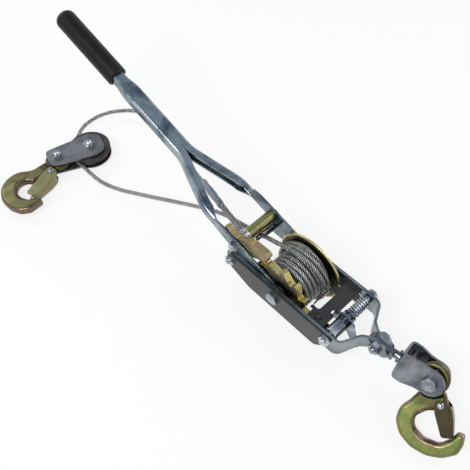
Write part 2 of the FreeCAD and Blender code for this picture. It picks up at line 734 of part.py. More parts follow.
def make_stud():
    """The swivel stud: flat tang between the straps, neck and round head."""
    tang = plate_xz(
        [(113.0, TAIL_Z - 9.0), (148.0, TAIL_Z - 7.0), (148.0, TAIL_Z + 7.0), (113.0, TAIL_Z + 9.0)],
        [8, 2, 2, 8], -TAIL_GAP, TAIL_GAP)
    tang = tang.cut(cylinder_y(BOLT_D / 2 + SEAT / 2, -10.0, 10.0, CLAMP_X, TAIL_Z))
    collar = Part.makeCylinder(8.0, 3.2, V(YOKE_WEB_X - RUN - 3.2, 0, TAIL_Z), V(1, 0, 0))
    head_x = YOKE_WEB_X + YOKE_T + RUN
    neck = Part.makeCylinder(STUD_NECK_D / 2, head_x + 1 - 145.0, V(145.0, 0, TAIL_Z), V(1, 0, 0))
    head = Part.makeCylinder(STUD_HEAD_D / 2, STUD_HEAD_T, V(head_x, 0, TAIL_Z), V(1, 0, 0))
    rim = [e for e in head.Edges if abs(e.CenterOfMass.x - head_x - STUD_HEAD_T) < 0.01]
    head = head.makeFillet(2.2, rim)
    return tang.fuse(swivelled(collar.fuse([neck, head])))


PARTS["swivel_stud"] = make_stud()
YOKE_CENTRE = V(0, 0, TAIL_Z)


def roll_yoke(shape):
    return swivelled(turned(shape, YOKE_CENTRE, V(1, 0, 0), YOKE_ROLL))


def make_yoke():
    """The pressed swivel yoke: web on the stud, ears closing on the hook pin."""
    half = YOKE_WIDTH / 2 - YOKE_T / 2
    ear = YOKE_EAR_IN + YOKE_T / 2
    end = YOKE_PIN_X + YOKE_PAD_R
    web_mid = YOKE_WEB_X + YOKE_T / 2
    neck = YOKE_WEB_X + 13.0
    waist = YOKE_WEB_X + 26.0
    line = [
        (end, -ear), (waist, -ear), (neck, -half), (web_mid, -half), (web_mid, half), (neck, half),
        (waist, ear), (end, ear),
    ]
    z0 = TAIL_Z - YOKE_HEIGHT / 2
    z1 = TAIL_Z + YOKE_HEIGHT / 2
    body = ribbon(line, [0, 9, 9, 5, 5, 9, 9, 0], YOKE_T, z0, z1)
    side = [
        (YOKE_WEB_X, z0), (neck, z0), (YOKE_PIN_X - 8.0, TAIL_Z - YOKE_PAD_R), (end, TAIL_Z - YOKE_PAD_R),
        (end, TAIL_Z + YOKE_PAD_R), (YOKE_PIN_X - 8.0, TAIL_Z + YOKE_PAD_R), (neck, z1), (YOKE_WEB_X, z1),
    ]
    trim = plate_xz(side, [4, 14, 14, YOKE_PAD_R - 0.1, YOKE_PAD_R - 0.1, 14, 14, 4], -40.0, 40.0)
    body = body.common(trim)
    hole = Part.makeCylinder(STUD_NECK_D / 2 + RUN, 10.0, V(YOKE_WEB_X - 3, 0, TAIL_Z), V(1, 0, 0))
    body = body.cut(hole)
    return body.cut(cylinder_y(BOLT_D / 2 + 1.0 + SEAT / 2, -40.0, 40.0, YOKE_PIN_X, TAIL_Z))


PARTS["yoke"] = roll_yoke(make_yoke())
PIN_D = BOLT_D + 2.0
YOKE_OUT = YOKE_EAR_IN + YOKE_T
PARTS["yoke_bolt"] = roll_yoke(
    cross_bolt(YOKE_PIN_X, TAIL_Z, PIN_D, -YOKE_OUT, YOKE_OUT + 5.0, 15.0, 5.0, 0.8))
PARTS["yoke_nut"] = roll_yoke(cross_nut(YOKE_PIN_X, TAIL_Z, PIN_D, YOKE_OUT, 15.0, 5.0))


# Slip hooks, drawn with the eye at the origin, X to the bowl and Y to the tip
def hook_tip(reach):
    """How far along the hook its tip ends."""
    if reach > 95.0:
        return reach - 33.0
    return reach - 26.0


def latch_place(reach):
    """Where the latch rivet sits in the plane of the hook."""
    if reach > 95.0:
        return 25.5, 9.0
    return 28.5, 7.0


def hook_outline(reach):
    """The outline of the forging, from the neck round the bowl to the tip."""
    if reach > 95.0:
        points = [
            (14.0, -11.0), (reach - 68.0, -17.0), (reach - 54.0, -34.5), (reach - 36.0, -38.0),
            (reach - 19.0, -34.0), (reach - 5.0, -19.0), (reach, 0.0), (reach - 2.5, 16.0),
            (reach - 12.0, 27.0), (reach - 33.0, 31.5), (reach - 35.5, 24.5), (reach - 24.5, 13.0),
            (reach - 22.5, 2.0), (reach - 26.0, -10.0), (reach - 38.0, -17.0), (reach - 49.0, -12.0),
            (reach - 53.0, -1.0), (34.0, 5.0), (27.0, 14.5), (15.0, 12.0),
        ]
        radii = [6, 20, 30, 30, 30, 25, 30, 14, 12, 3.2, 3.4, 9, 10, 12, 12, 9, 8, 5, 4, 6]
        return points, radii
    points = [
        (12.0, -13.0), (24.0, -26.0), (reach - 54.0, -37.5), (reach - 40.0, -43.0), (reach - 24.0, -40.0),
        (reach - 10.0, -28.5), (reach - 1.5, -12.0), (reach, 5.0), (reach - 5.0, 21.0), (reach - 15.0, 27.5),
        (reach - 26.0, 30.5), (reach - 29.0, 23.5), (reach - 21.0, 14.5), (reach - 15.5, 3.0),
        (reach - 20.5, -13.0), (reach - 33.0, -23.5), (reach - 44.5, -21.0), (reach - 51.0, -8.0),
        (34.5, 8.0), (28.0, 15.0), (14.0, 12.5),
    ]
    radii = [6, 16, 20, 18, 20, 24, 26, 22, 10, 10, 3.2, 3.4, 8, 10, 14, 12, 9, 8, 5, 4, 6]
    return points, radii


def make_hook(reach):
    """A forged slip hook: round eye, swelling shank, bowl and blunt tip."""
    points, radii = hook_outline(reach)
    blade = plate_xy(points, radii, -HOOK_T / 2, HOOK_T / 2)
    blade = rounded(blade, 4.5, lambda e: abs(abs(e.CenterOfMass.z) - HOOK_T / 2) < 0.01)
    rise = HOOK_T / 2 - EYE_T / 2 + 1.0
    for sign in (-1, 1):
        shoulder = Part.makeCone(
            SHOULDER_R, SHOULDER_R + 1.2 * rise, rise, V(0, 0, sign * EYE_T / 2), V(0, 0, sign))
        blade = blade.cut(shoulder)
    eye = Part.makeCylinder(EYE_R, EYE_T, V(0, 0, -EYE_T / 2))
    eye = rounded(eye, 3.6, lambda e: e.Length > 2 * EYE_R)
    body = blade.fuse(eye)
    hole = Part.makeCylinder(EYE_HOLE_R, EYE_T + 4, V(0, 0, -EYE_T / 2 - 2))
    body = body.cut(hole)
    rim = [e for e in body.Edges if abs(e.Length - 2 * math.pi * EYE_HOLE_R) < 0.01]
    body = body.makeFillet(2.8, rim)
    return body


def make_latch(reach):
    """The sheet latch: two cheeks on the rivet and a folded back on the tip."""
    cheek_y = HOOK_T / 2 + RUN
    rivet_a, rivet_b = latch_place(reach)
    end_a = hook_tip(reach) + 2.5
    end_b = 19.0
    outline = [
        (rivet_a - 6.5, rivet_b - 6.0), (rivet_a + 7.0, rivet_b - 7.0), (end_a - 2.0, end_b - 14.0),
        (end_a, end_b - 12.0), (end_a, end_b - 1.0), (rivet_a + 16.0, rivet_b + 12.5),
        (rivet_a + 3.0, rivet_b + 11.5), (rivet_a - 5.0, rivet_b + 6.0),
    ]
    block = plate_xy(outline, [4, 4, 2, 2, 3, 12, 6, 4], -cheek_y - LATCH_T, cheek_y + LATCH_T)
    inner = plate_xy(
        [(rivet_a - 20.0, rivet_b - 20.0), (end_a + 20.0, end_b - 40.0), (end_a + 20.0, end_b - 2.8),
         (rivet_a + 16.0, rivet_b + 10.9), (rivet_a - 20.0, rivet_b + 10.0)],
        0.0, -cheek_y, cheek_y)
    return block.cut(inner)


def make_latch_rivet(reach):
    """The rivet through the hook's shank that the latch turns on."""
    span = HOOK_T + 2 * RUN + 2 * LATCH_T
    rivet_a, rivet_b = latch_place(reach)
    shank = Part.makeCylinder(2.5, span + 1.0, V(rivet_a, rivet_b, -span / 2 - 0.5))
    body = shank
    for sign in (-1, 1):
        dome = Part.makeSphere(4.6, V(rivet_a, rivet_b, sign * (span / 2 + RUN - 2.4)))
        limit = Part.makeBox(20, 20, 5, V(rivet_a - 10, rivet_b - 10, span / 2 + RUN))
        if sign < 0:
            limit = limit.mirror(V(0, 0, 0), V(0, 0, 1))
        body = body.fuse(dome.common(limit))
    return body


def hook_set(reach):
    """The hook, its rivet and its latch, with the holes cut."""
    rivet_a, rivet_b = latch_place(reach)
    hook = make_hook(reach)
    rivet = make_latch_rivet(reach)
    bore = Part.makeCylinder(2.5, 40.0, V(rivet_a, rivet_b, -20.0))
    wide = Part.makeCylinder(2.5 + RUN, 40.0, V(rivet_a, rivet_b, -20.0))
    return hook.cut(bore), rivet, make_latch(reach).cut(wide)


def place_hook(shape, origin, long_axis, tip_axis):
    """Carry a hook from its own axes to its place on the winch."""
    third = long_axis.cross(tip_axis)
    matrix = FreeCAD.Matrix(
        long_axis.x, tip_axis.x, third.x, origin.x,
        long_axis.y, tip_axis.y, third.y, origin.y,
        long_axis.z, tip_axis.z, third.z, origin.z,
        0, 0, 0, 1)
    copy = shape.copy()
    copy.transformShape(matrix, True)
    return copy


def along_swivel(x, y, z):
    """A direction given in the bent line of the stud."""
    return FreeCAD.Rotation(V(0, 0, 1), STUD_YAW).multVec(V(x, y, z))


roll = math.radians(YOKE_ROLL)
lean = math.radians(YOKE_ROLL + HOOK_TILT)
drop = math.radians(REAR_HOOK_DROP)
SWIVEL_AXIS = along_swivel(1, 0, 0)
PIN_AXIS = along_swivel(0, math.cos(roll), math.sin(roll))
DOWN = along_swivel(0, math.sin(lean), -math.cos(lean))
REAR_LONG = SWIVEL_AXIS * math.cos(drop) + DOWN * math.sin(drop)
REAR_TIP = SWIVEL_AXIS * math.sin(drop) - DOWN * math.cos(drop)
REAR_PIN = CLAMP_CENTRE + SWIVEL_AXIS * (YOKE_PIN_X - CLAMP_X)
REAR_LATCH = latch_place(REAR_HOOK_REACH)
BLOCK_LATCH = latch_place(BLOCK_HOOK_REACH)
REAR_SET = hook_set(REAR_HOOK_REACH)
for name, piece in zip(("rear_hook", "rear_latch_rivet", "rear_latch"), REAR_SET):
    PARTS[name] = place_hook(piece, REAR_PIN, REAR_LONG, REAR_TIP)

BLOCK_LONG = V(0.275, -0.961, 0).normalize()
BLOCK_TIP = V(0.961, 0.275, 0).normalize()
BLOCK_PIN = V(HOOK_PIN_X, HOOK_PIN_Y, BLOCK_MID)
BLOCK_SET = hook_set(BLOCK_HOOK_REACH)
for name, piece in zip(("block_hook", "block_latch_rivet", "block_latch"), BLOCK_SET):
    PARTS[name] = place_hook(piece, BLOCK_PIN, BLOCK_LONG, BLOCK_TIP)


# Snatch block
def make_block_plate(z0):
    """One lozenge cheek of the snatch block."""
    along = V(HOOK_PIN_X - SHEAVE_X, HOOK_PIN_Y - SHEAVE_Y, 0)
    length = along.Length
    angle = math.degrees(math.atan2(along.y, along.x))
    outline = [
        (-20.0, -16.0), (-20.0, 16.0), (-4.0, 22.5), (length + 13.5, 15.5), (length + 13.5, -15.5), (-4.0, -22.5),
    ]
    plate = plate_xy(outline, [12, 12, 12, 7, 7, 12], z0, z0 + BLOCK_PLATE_T)
    for x in (0.0, length):
        plate = plate.cut(cylinder_z(BOLT_D / 2 + SEAT / 2, z0 - 1, z0 + BLOCK_PLATE_T + 1, x, 0.0))
    plate = turned(plate, V(0, 0, 0), V(0, 0, 1), angle)
    plate.translate(V(SHEAVE_X, SHEAVE_Y, 0))
    return plate


BLOCK_Z0 = BLOCK_LOW - GROUND
BLOCK_Z1 = BLOCK_Z0 + BLOCK_PLATE_T
BLOCK_Z2 = BLOCK_Z1 + BLOCK_GAP
BLOCK_Z3 = BLOCK_Z2 + BLOCK_PLATE_T
PARTS["block_lower_plate"] = make_block_plate(BLOCK_Z0)
PARTS["block_upper_plate"] = make_block_plate(BLOCK_Z2)


def block_bolt(x, y):
    """A bolt through the snatch block, head below, with its nut on top."""
    shank = cylinder_z(BOLT_D / 2, BLOCK_Z0 - 0.5, BLOCK_Z3 + 6.5, x, y)
    head = hexagon(13.0, 5.0, V(x, y, BLOCK_Z0), V(0, 0, -1))
    nut = hexagon(13.0, 5.6, V(x, y, BLOCK_Z3), V(0, 0, 1))
    nut = nut.cut(cylinder_z(BOLT_D / 2 + SEAT / 2, BLOCK_Z3 - 1, BLOCK_Z3 + 8, x, y))
    return shank.fuse(head), nut


PARTS["sheave_bolt"], PARTS["sheave_nut"] = block_bolt(SHEAVE_X, SHEAVE_Y)
PARTS["hook_bolt"], PARTS["hook_nut"] = block_bolt(HOOK_PIN_X, HOOK_PIN_Y)


def make_sheave():
    """The grooved sheave that the cable turns round."""
    low = BLOCK_Z1 + RUN
    height = BLOCK_GAP - 2 * RUN
    body = cylinder_z(SHEAVE_R, low, low + height, SHEAVE_X, SHEAVE_Y)
    groove = Part.makeTorus(
        CABLE_ON_SHEAVE_R + 0.4, CABLE_D / 2 + 0.7, V(SHEAVE_X, SHEAVE_Y, BLOCK_MID), V(0, 0, 1))
    r0 = CABLE_ON_SHEAVE_R
    mouth = Part.makeCylinder(SHEAVE_R + 5, 2 * 4.6, V(SHEAVE_X, SHEAVE_Y, BLOCK_MID - 4.6))
    cones = []
    for sign in (-1, 1):
        cone = Part.makeCone(r0, r0 + 9.0, 5.4, V(SHEAVE_X, SHEAVE_Y, BLOCK_MID), V(0, 0, sign))
        cones.append(cone)
    mouth = mouth.cut(Part.makeCylinder(r0, 12.0, V(SHEAVE_X, SHEAVE_Y, BLOCK_MID - 6)))
    body = body.cut(mouth).cut(groove)
    return body.cut(cylinder_z(BOLT_D / 2 + RUN, low - 1, low + height + 1, SHEAVE_X, SHEAVE_Y))


PARTS["sheave"] = make_sheave()


# Cable from the drum round the sheave to the ferrule
def w(x, y, z):
    """A point given by its height above the ground."""
    return V(x, y, z - GROUND)


FERRULE_A = w(-184.0, 14.5, 57.0)
EYE_CENTRE = V(FRONT_X, EYE_Y, FRONT_Z)
FERRULE_DIR = (EYE_CENTRE - FERRULE_A).normalize()
FERRULE_LENGTH = 44.0
FERRULE_B = FERRULE_A + FERRULE_DIR * FERRULE_LENGTH

mid_z = BLOCK_MID + GROUND
WRAP = 56.15
corner_x = SHEAVE_X - CABLE_ON_SHEAVE_R * math.tan(math.radians(WRAP / 2))
LIVE_Y = SHEAVE_Y - CABLE_ON_SHEAVE_R
SHEAVE_CORNER = w(corner_x, LIVE_Y, mid_z)
DEAD_DIR = V(-math.cos(math.radians(WRAP)), math.sin(math.radians(WRAP)), 0)
RISE = math.tan(math.radians(WIND_OUT - 90.0))
ROUTE = [
    OUTLET,
    V(-86.0, OUTLET.y, OUTLET.z - (OUTLET.x + 86.0) * RISE),
    w(-140.0, 7.2, 38.5),
    w(-184.0, -5.5, 24.5),
    w(-240.0, -34.0, 17.0),
    w(-302.0, LIVE_Y, mid_z),
    SHEAVE_CORNER,
    SHEAVE_CORNER + DEAD_DIR * 61.2,
    w(-420.0, 24.0, 15.0),
    w(-387.0, 63.0, 15.5),
    w(-330.0, 75.0, 18.0),
    w(-272.0, 54.0, 26.0),
    FERRULE_A - FERRULE_DIR * 44.0 + V(0, 3.0, -12.0),
    FERRULE_A,
]


def cable_edges(points, fixed):
    """Straight runs joined by tangent arcs."""
    edges = []
    here = points[0]
    report = []
    for index in range(1, len(points) - 1):
        corner = points[index]
        u = (corner - points[index - 1])
        v = (points[index + 1] - corner)
        bend = u.getAngle(v)
        shorter = min(u.Length, v.Length)
        radius = fixed.get(index, 0.45 * shorter / math.tan(bend / 2))
        reach = radius * math.tan(bend / 2)
        start = corner - u.normalize() * reach
        end = corner + v.normalize() * reach
        inward = (v - u).normalize()
        middle = corner + inward * (radius / math.cos(bend / 2) - radius)
        edges.append(Part.LineSegment(here, start).toShape())
        edges.append(Part.Arc(start, middle, end).toShape())
        here = end
        report.append((index, round(math.degrees(bend), 1), round(radius, 1), round(shorter, 1)))
    edges.append(Part.LineSegment(here, points[-1]).toShape())
    return edges, report


EDGES, TURNS = cable_edges(ROUTE, {6: CABLE_ON_SHEAVE_R})
PARTS["cable"] = tube_of(EDGES, CABLE_D / 2)


# Dead end of the cable: ferrule and eye round the front bolt
UP = V(0, 0, 1)
EYE_UP = (UP - FERRULE_DIR * UP.dot(FERRULE_DIR)).normalize()
STRAND = CABLE_D / 2 + 0.25


def make_eye():
    """The cable eye: both strands from the ferrule and the turn round the spacer."""
    radius = BOLT_D / 2 + CABLE_D / 2 + SEAT
    far = (EYE_CENTRE - FERRULE_B).Length
    flare = 22.0
    rise = (radius - STRAND) / (far - flare)
    angle = math.atan(rise)
    edges = []
    top = FERRULE_B + EYE_UP * STRAND
    low = FERRULE_B - EYE_UP * STRAND
    t_top = EYE_CENTRE - FERRULE_DIR * radius * math.sin(angle) + EYE_UP * radius * math.cos(angle)
    t_low = EYE_CENTRE - FERRULE_DIR * radius * math.sin(angle) - EYE_UP * radius * math.cos(angle)
    slope = math.tan(angle)
    back = ((t_top - top).dot(EYE_UP)) / slope
    k_top = t_top - FERRULE_DIR * back - EYE_UP * (back * slope)
    k_low = t_low - FERRULE_DIR * back + EYE_UP * (back * slope)
    reach = 5.0
    along_top = (t_top - k_top).normalize()
    along_low = (t_low - k_low).normalize()
    bend_radius = reach / math.tan(angle / 2)

    def soft(corner, along):
        start = corner - FERRULE_DIR * reach
        end = corner + along * reach
        inward = (along - FERRULE_DIR).normalize()
        middle = corner + inward * (bend_radius / math.cos(angle / 2) - bend_radius)
        return start, middle, end

    s1, m1, e1 = soft(k_top, along_top)
    s2, m2, e2 = soft(k_low, along_low)
    edges.append(Part.LineSegment(top, s1).toShape())
    edges.append(Part.Arc(s1, m1, e1).toShape())
    edges.append(Part.LineSegment(e1, t_top).toShape())
    edges.append(Part.Arc(t_top, EYE_CENTRE + FERRULE_DIR * radius, t_low).toShape())
    edges.append(Part.LineSegment(t_low, e2).toShape())
    edges.append(Part.Arc(e2, m2, s2).toShape())
    edges.append(Part.LineSegment(s2, low).toShape())
    return tube_of(edges, CABLE_D / 2)


PARTS["cable_eye"] = make_eye()


def make_ferrule():
    """The pressed double barrel that closes the cable eye."""
    barrel = []
    for sign in (-1, 1):
        start = FERRULE_A + EYE_UP * (STRAND * sign)
        barrel.append(Part.makeCylinder(CABLE_D / 2 + 1.6, FERRULE_LENGTH, start, FERRULE_DIR))
    body = barrel[0].fuse(barrel[1])
    return body.removeSplitter()


PARTS["ferrule"] = make_ferrule()

# Origin: middle of the footprint of the rigid pieces, on the ground
box = FreeCAD.BoundBox()
for name, shape in PARTS.items():
    if name != "cable":
        for point in shape.tessellate(0.2)[0]:
            box.add(point)
SHIFT = V(-(box.XMin + box.XMax) / 2, -(box.YMin + box.YMax) / 2, -box.ZMin)
print("ground", round(box.ZMin, 3), "box", [round(v, 1) for v in (box.XLength, box.YLength, box.ZLength)])
print("shift", [round(v, 3) for v in SHIFT])
print("cable corners", TURNS)
length = sum(edge.Length for edge in EDGES)
section = math.pi * CABLE_D * CABLE_D / 4
print("cable length", round(length, 1), "volume ratio", round(PARTS["cable"].Volume / section / length, 4))
wound = sum(edge.Length for edge in WINDING)
print("wound length", round(wound, 1), "ratio", round(PARTS["wound_cable"].Volume / section / wound, 4))


def least_gap(edges, diameter, step=0.5, apart=20.0):
    """The least clear space between two turns, measured between points along the centre line."""
    cells = {}
    track = []
    run = 0.0
    for edge in edges:
        count = max(1, int(edge.Length / step))
        for index in range(count):
            at = edge.FirstParameter + (edge.LastParameter - edge.FirstParameter) * index / count
            point = edge.valueAt(at)
            track.append((run + edge.Length * index / count, point))
        run += edge.Length
    for place, point in track:
        key = tuple(int(math.floor(v / 8.0)) for v in point)
        cells.setdefault(key, []).append((place, point))
    best = 1e9
    for place, point in track:
        key = tuple(int(math.floor(v / 8.0)) for v in point)
        for dx in (-1, 0, 1):
            for dy in (-1, 0, 1):
                for dz in (-1, 0, 1):
                    for other, spot in cells.get((key[0] + dx, key[1] + dy, key[2] + dz), []):
                        if abs(other - place) > apart:
                            best = min(best, point.distanceToPoint(spot))
    return best - diameter


print("least gap of the winding to itself", round(least_gap(WINDING, CABLE_D), 3))
print("least gap of the cable to itself", round(least_gap(EDGES, CABLE_D), 3))
print("pitches", round(FIRST_PITCH, 3), SECOND_PITCH, "outlet", [round(v, 2) for v in OUTLET + SHIFT])
print("route", [tuple(round(v, 2) for v in (p + SHIFT)) for p in ROUTE])
print("pivots", {
    "axle": tuple(round(v, 3) for v in SHIFT),
    "pawl": tuple(round(v, 3) for v in V(PAWL_X, 0, PAWL_Z) + SHIFT),
    "rear": tuple(round(v, 3) for v in V(REAR_X, 0, REAR_Z) + SHIFT),
    "yoke": tuple(round(v, 3) for v in CLAMP_CENTRE + SWIVEL_AXIS * (YOKE_WEB_X - CLAMP_X) + SHIFT),
    "hook": tuple(round(v, 3) for v in REAR_PIN + SHIFT),
    "swivel axis": tuple(round(v, 5) for v in SWIVEL_AXIS),
    "hook axis": tuple(round(v, 5) for v in PIN_AXIS),
    "latch axis": tuple(round(v, 5) for v in REAR_LONG.cross(REAR_TIP)),
    "latch": tuple(round(v, 3) for v in REAR_PIN + REAR_LONG * REAR_LATCH[0] + REAR_TIP * REAR_LATCH[1] + SHIFT),
    "sheave": tuple(round(v, 3) for v in V(SHEAVE_X, SHEAVE_Y, BLOCK_MID) + SHIFT),
    "block hook": tuple(round(v, 3) for v in BLOCK_PIN + SHIFT),
    "block latch": tuple(round(v, 3) for v in BLOCK_PIN + BLOCK_LONG * BLOCK_LATCH[0] + BLOCK_TIP * BLOCK_LATCH[1] + SHIFT),
})
os.makedirs("parts", exist_ok=True)
for name, shape in PARTS.items():
    placed = shape.copy()
    placed.translate(SHIFT)
    solids = len(placed.Solids)
    sound = placed.isValid()
    print(name, "solids", solids, "valid", sound, "volume", round(placed.Volume, 1))
    placed.exportStep("parts/" + name + ".step")
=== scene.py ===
"""A come along winch: looks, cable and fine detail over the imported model."""

import logging
import math
from contextlib import contextmanager
from dataclasses import dataclass, field
from enum import Enum
from typing import Any, Iterator, Sequence

import bpy
import numpy as np
from mathutils import Matrix, Vector


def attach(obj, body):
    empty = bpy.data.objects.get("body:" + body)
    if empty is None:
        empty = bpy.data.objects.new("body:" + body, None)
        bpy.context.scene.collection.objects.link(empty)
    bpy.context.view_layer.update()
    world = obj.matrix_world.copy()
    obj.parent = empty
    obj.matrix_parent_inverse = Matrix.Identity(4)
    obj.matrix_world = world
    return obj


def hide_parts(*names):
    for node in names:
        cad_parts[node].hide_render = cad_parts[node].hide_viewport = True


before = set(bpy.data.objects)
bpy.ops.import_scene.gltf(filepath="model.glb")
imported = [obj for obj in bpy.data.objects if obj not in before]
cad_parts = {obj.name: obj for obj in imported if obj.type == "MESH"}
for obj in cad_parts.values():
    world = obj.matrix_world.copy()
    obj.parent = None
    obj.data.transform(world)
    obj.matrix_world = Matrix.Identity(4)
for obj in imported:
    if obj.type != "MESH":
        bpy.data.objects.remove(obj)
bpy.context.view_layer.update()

LOG = logging.getLogger("winch")
FULL_TURN = 2.0 * math.pi
# The middle of the axle in the frame, in metres, and the frame's directions.
AXLE = Vector((0.087836, 0.070986, 0.0484))
ACROSS = (0.0, 1.0, 0.0)
UP = (0.0, 0.0, 1.0)
# Points closer than MERGE are one point, and lengths within NEAR are the same.
MERGE = 1e-6
NEAR = 1e-5


class Slot(Enum):
    """The record's slots for the new pieces; nothing in this script uses them."""

    BRIGHT = "bright_zinc"
    BLACK = "black_paint"
    CABLE = "cable_steel"
    FERRULE = "ferrule_aluminium"


class Term:
    """A number in a material, which takes part in sums as a Python number does."""

    def __init__(self, graph: "Graph", socket: Any) -> None:
        """Keep the socket and the graph it belongs to."""
        self.graph = graph
        self.socket = socket

    def _join(self, operation: str, first: Any, second: Any = 0.0) -> "Term":
        """Add one Math node and return what comes out of it."""
        node = self.graph.node("ShaderNodeMath", {"operation": operation}, {0: first, 1: second})
        return Term(self.graph, node.outputs[0])

    def __add__(self, other: Any) -> "Term":
        """self + other."""
        return self._join("ADD", self, other)

    def __radd__(self, other: Any) -> "Term":
        """other + self."""
        return self._join("ADD", other, self)

    def __sub__(self, other: Any) -> "Term":
        """self - other."""
        return self._join("SUBTRACT", self, other)

    def __rsub__(self, other: Any) -> "Term":
        """other - self."""
        return self._join("SUBTRACT", other, self)

    def __mul__(self, other: Any) -> "Term":
        """self * other."""
        return self._join("MULTIPLY", self, other)

    def __rmul__(self, other: Any) -> "Term":
        """other * self."""
        return self._join("MULTIPLY", other, self)

    def __truediv__(self, other: Any) -> "Term":
        """self / other."""
        return self._join("DIVIDE", self, other)

    def __rtruediv__(self, other: Any) -> "Term":
        """other / self."""
        return self._join("DIVIDE", other, self)

    def __abs__(self) -> "Term":
        """The size of self without its sign."""
        return self._join("ABSOLUTE", self)

    def larger(self, other: Any) -> "Term":
        """The larger of the two."""
        return self._join("MAXIMUM", self, other)

    def sine(self) -> "Term":
        """The sine of self, in radians."""
        return self._join("SINE", self)

    def cosine(self) -> "Term":
        """The cosine of self, in radians."""
        return self._join("COSINE", self)


class Graph:
    """The nodes of one material or of the world."""

    def __init__(self, owner: Any) -> None:
        """Start with no nodes.

        Args:
            owner: The material or the world.
        """
        owner.use_nodes = True
        self.tree = owner.node_tree
        self.tree.nodes.clear()
        self._coords = None

    def feed(self, socket: Any, value: Any) -> None:
        """Link or set one input.

        Args:
            socket: The input socket.
            value: A Term, an output socket, an RGB tuple or another plain value.
        """
        if isinstance(value, Term):
            value = value.socket
        if isinstance(value, bpy.types.NodeSocket):
            self.tree.links.new(value, socket)
        else:
            socket.default_value = (*value, 1.0) if socket.type == "RGBA" else value

    def node(self, kind: str, settings: dict | None = None, inputs: dict | None = None) -> Any:
        """Add a node.

        Args:
            kind: The node's type.
            settings: Its properties, set first.
            inputs: Its inputs by name or number, as values or links.

        Returns:
            The new node.
        """
        node = self.tree.nodes.new(kind)
        for key, value in (settings or {}).items():
            setattr(node, key, value)
        for key, value in (inputs or {}).items():
            self.feed(node.inputs[key], value)
        return node

    def coords(self) -> Any:
        """Find this tree's Texture Coordinate node, or add it.

        Returns:
            The node.
        """
        if self._coords is None:
            self._coords = self.node("ShaderNodeTexCoord")
        return self._coords

    def place(self) -> Any:
        """The Object coordinates, in metres."""
        return self.coords().outputs["Object"]

    def parts(self, vector: Any) -> list:
        """The x, y and z of a vector."""
        split = self.node("ShaderNodeSeparateXYZ", None, {0: vector})
        return [Term(self, output) for output in split.outputs]

    def vector(self, operation: str, first: Any, second: Any = (0.0, 0.0, 0.0)) -> Any:
        """Add one Vector Math node and return its outputs."""
        node = self.node("ShaderNodeVectorMath", {"operation": operation}, {0: first, 1: second})
        return node.outputs

    def stretched(self, scale: Sequence[float]) -> Any:
        """Object coordinates scaled along the three axes, for streaks."""
        inputs = {"Vector": self.place(), "Scale": scale}
        return self.node("ShaderNodeMapping", None, inputs).outputs[0]

    def noise(self, scale: float, detail: float, rough: float, vector: Any = None,
              distortion: float = 0.0) -> Term:
        """Soft noise.

        Args:
            scale: Waves per metre of the vector.
            detail: Number of octaves.
            rough: How strong the finer octaves are.
            vector: The vector socket, or None for Object coordinates.
            distortion: How much the noise is bent.

        Returns:
            The value, from 0 to 1.
        """
        node = self.node("ShaderNodeTexNoise", None, {
            "Vector": vector if vector is not None else self.place(), "Scale": scale,
            "Detail": detail, "Roughness": rough, "Distortion": distortion})
        return Term(self, node.outputs["Fac"])

    def spots(self, scale: float) -> Term:
        """Cell noise: the distance to the nearest cell point."""
        node = self.node("ShaderNodeTexVoronoi", None, {"Vector": self.place(), "Scale": scale})
        return Term(self, node.outputs["Distance"])

    def smooth(self, value: Any, low: float, high: float) -> Term:
        """A soft step from 0 below low to 1 above high."""
        node = self.node("ShaderNodeMapRange", {"interpolation_type": "SMOOTHSTEP"}, {
            "Value": value, "From Min": low, "From Max": high})
        return Term(self, node.outputs["Result"])

    def patches(self, low: float, high: float, scale: float, detail: float, rough: float,
                distortion: float = 0.0) -> Term:
        """Patches of noise, which begin where it is low and are full where it is high."""
        return self.smooth(self.noise(scale, detail, rough, distortion=distortion), low, high)

    def span(self, value: Any, low: float, high: float) -> Term:
        """A value from 0..1 stretched to low..high."""
        node = self.node(
            "ShaderNodeMapRange", {"clamp": True}, {"Value": value, "To Min": low, "To Max": high})
        return Term(self, node.outputs["Result"])

    def ramp(self, value: Any, stops: Sequence[tuple]) -> Any:
        """A colour ramp.

        Args:
            value: What runs along the ramp.
            stops: Pairs of place and colour.

        Returns:
            The colour socket.
        """
        node = self.node("ShaderNodeValToRGB", None, {"Fac": value})
        elements = node.color_ramp.elements
        while len(elements) < len(stops):
            elements.new(0.5)
        for element, (at, colour) in zip(elements, stops):
            element.position = at
            element.color = (*colour, 1.0)
        return node.outputs["Color"]

    def mix(self, factor: Any, first: Any, second: Any) -> Any:
        """Mix two colours, where factor is how much of the second shows."""
        inputs = {0: factor, 6: first, 7: second}
        return self.node("ShaderNodeMix", {"data_type": "RGBA"}, inputs).outputs[2]

    def toward(self, axis: Sequence[float]) -> Term:
        """How far the surface faces along an axis of the piece, from -1 to 1."""
        faced = self.vector("DOT_PRODUCT", self.coords().outputs["Normal"], axis)
        return Term(self, faced["Value"])

    def facing(self, axis: Sequence[float]) -> Term:
        """How far the surface faces along an axis of the piece, either way, from 0 to 1."""
        return abs(self.toward(axis))

    def distance(self, centre: Sequence[float], keep: Sequence[float]) -> Term:
        """The distance from a point, or from an axis through it.

        Args:
            centre: The point.
            keep: 1 along each direction that counts, and 0 along an axis.

        Returns:
            The distance, in metres.
        """
        shifted = self.vector("SUBTRACT", self.place(), tuple(centre))
        flat = self.vector("MULTIPLY", shifted[0], keep)
        return Term(self, self.vector("LENGTH", flat[0])["Value"])

    def bump(self, height: Any, strength: float, distance: float) -> Any:
        """Raise the surface by a height value."""
        inputs = {"Strength": strength, "Distance": distance, "Height": height}
        return self.node("ShaderNodeBump", None, inputs).outputs[0]

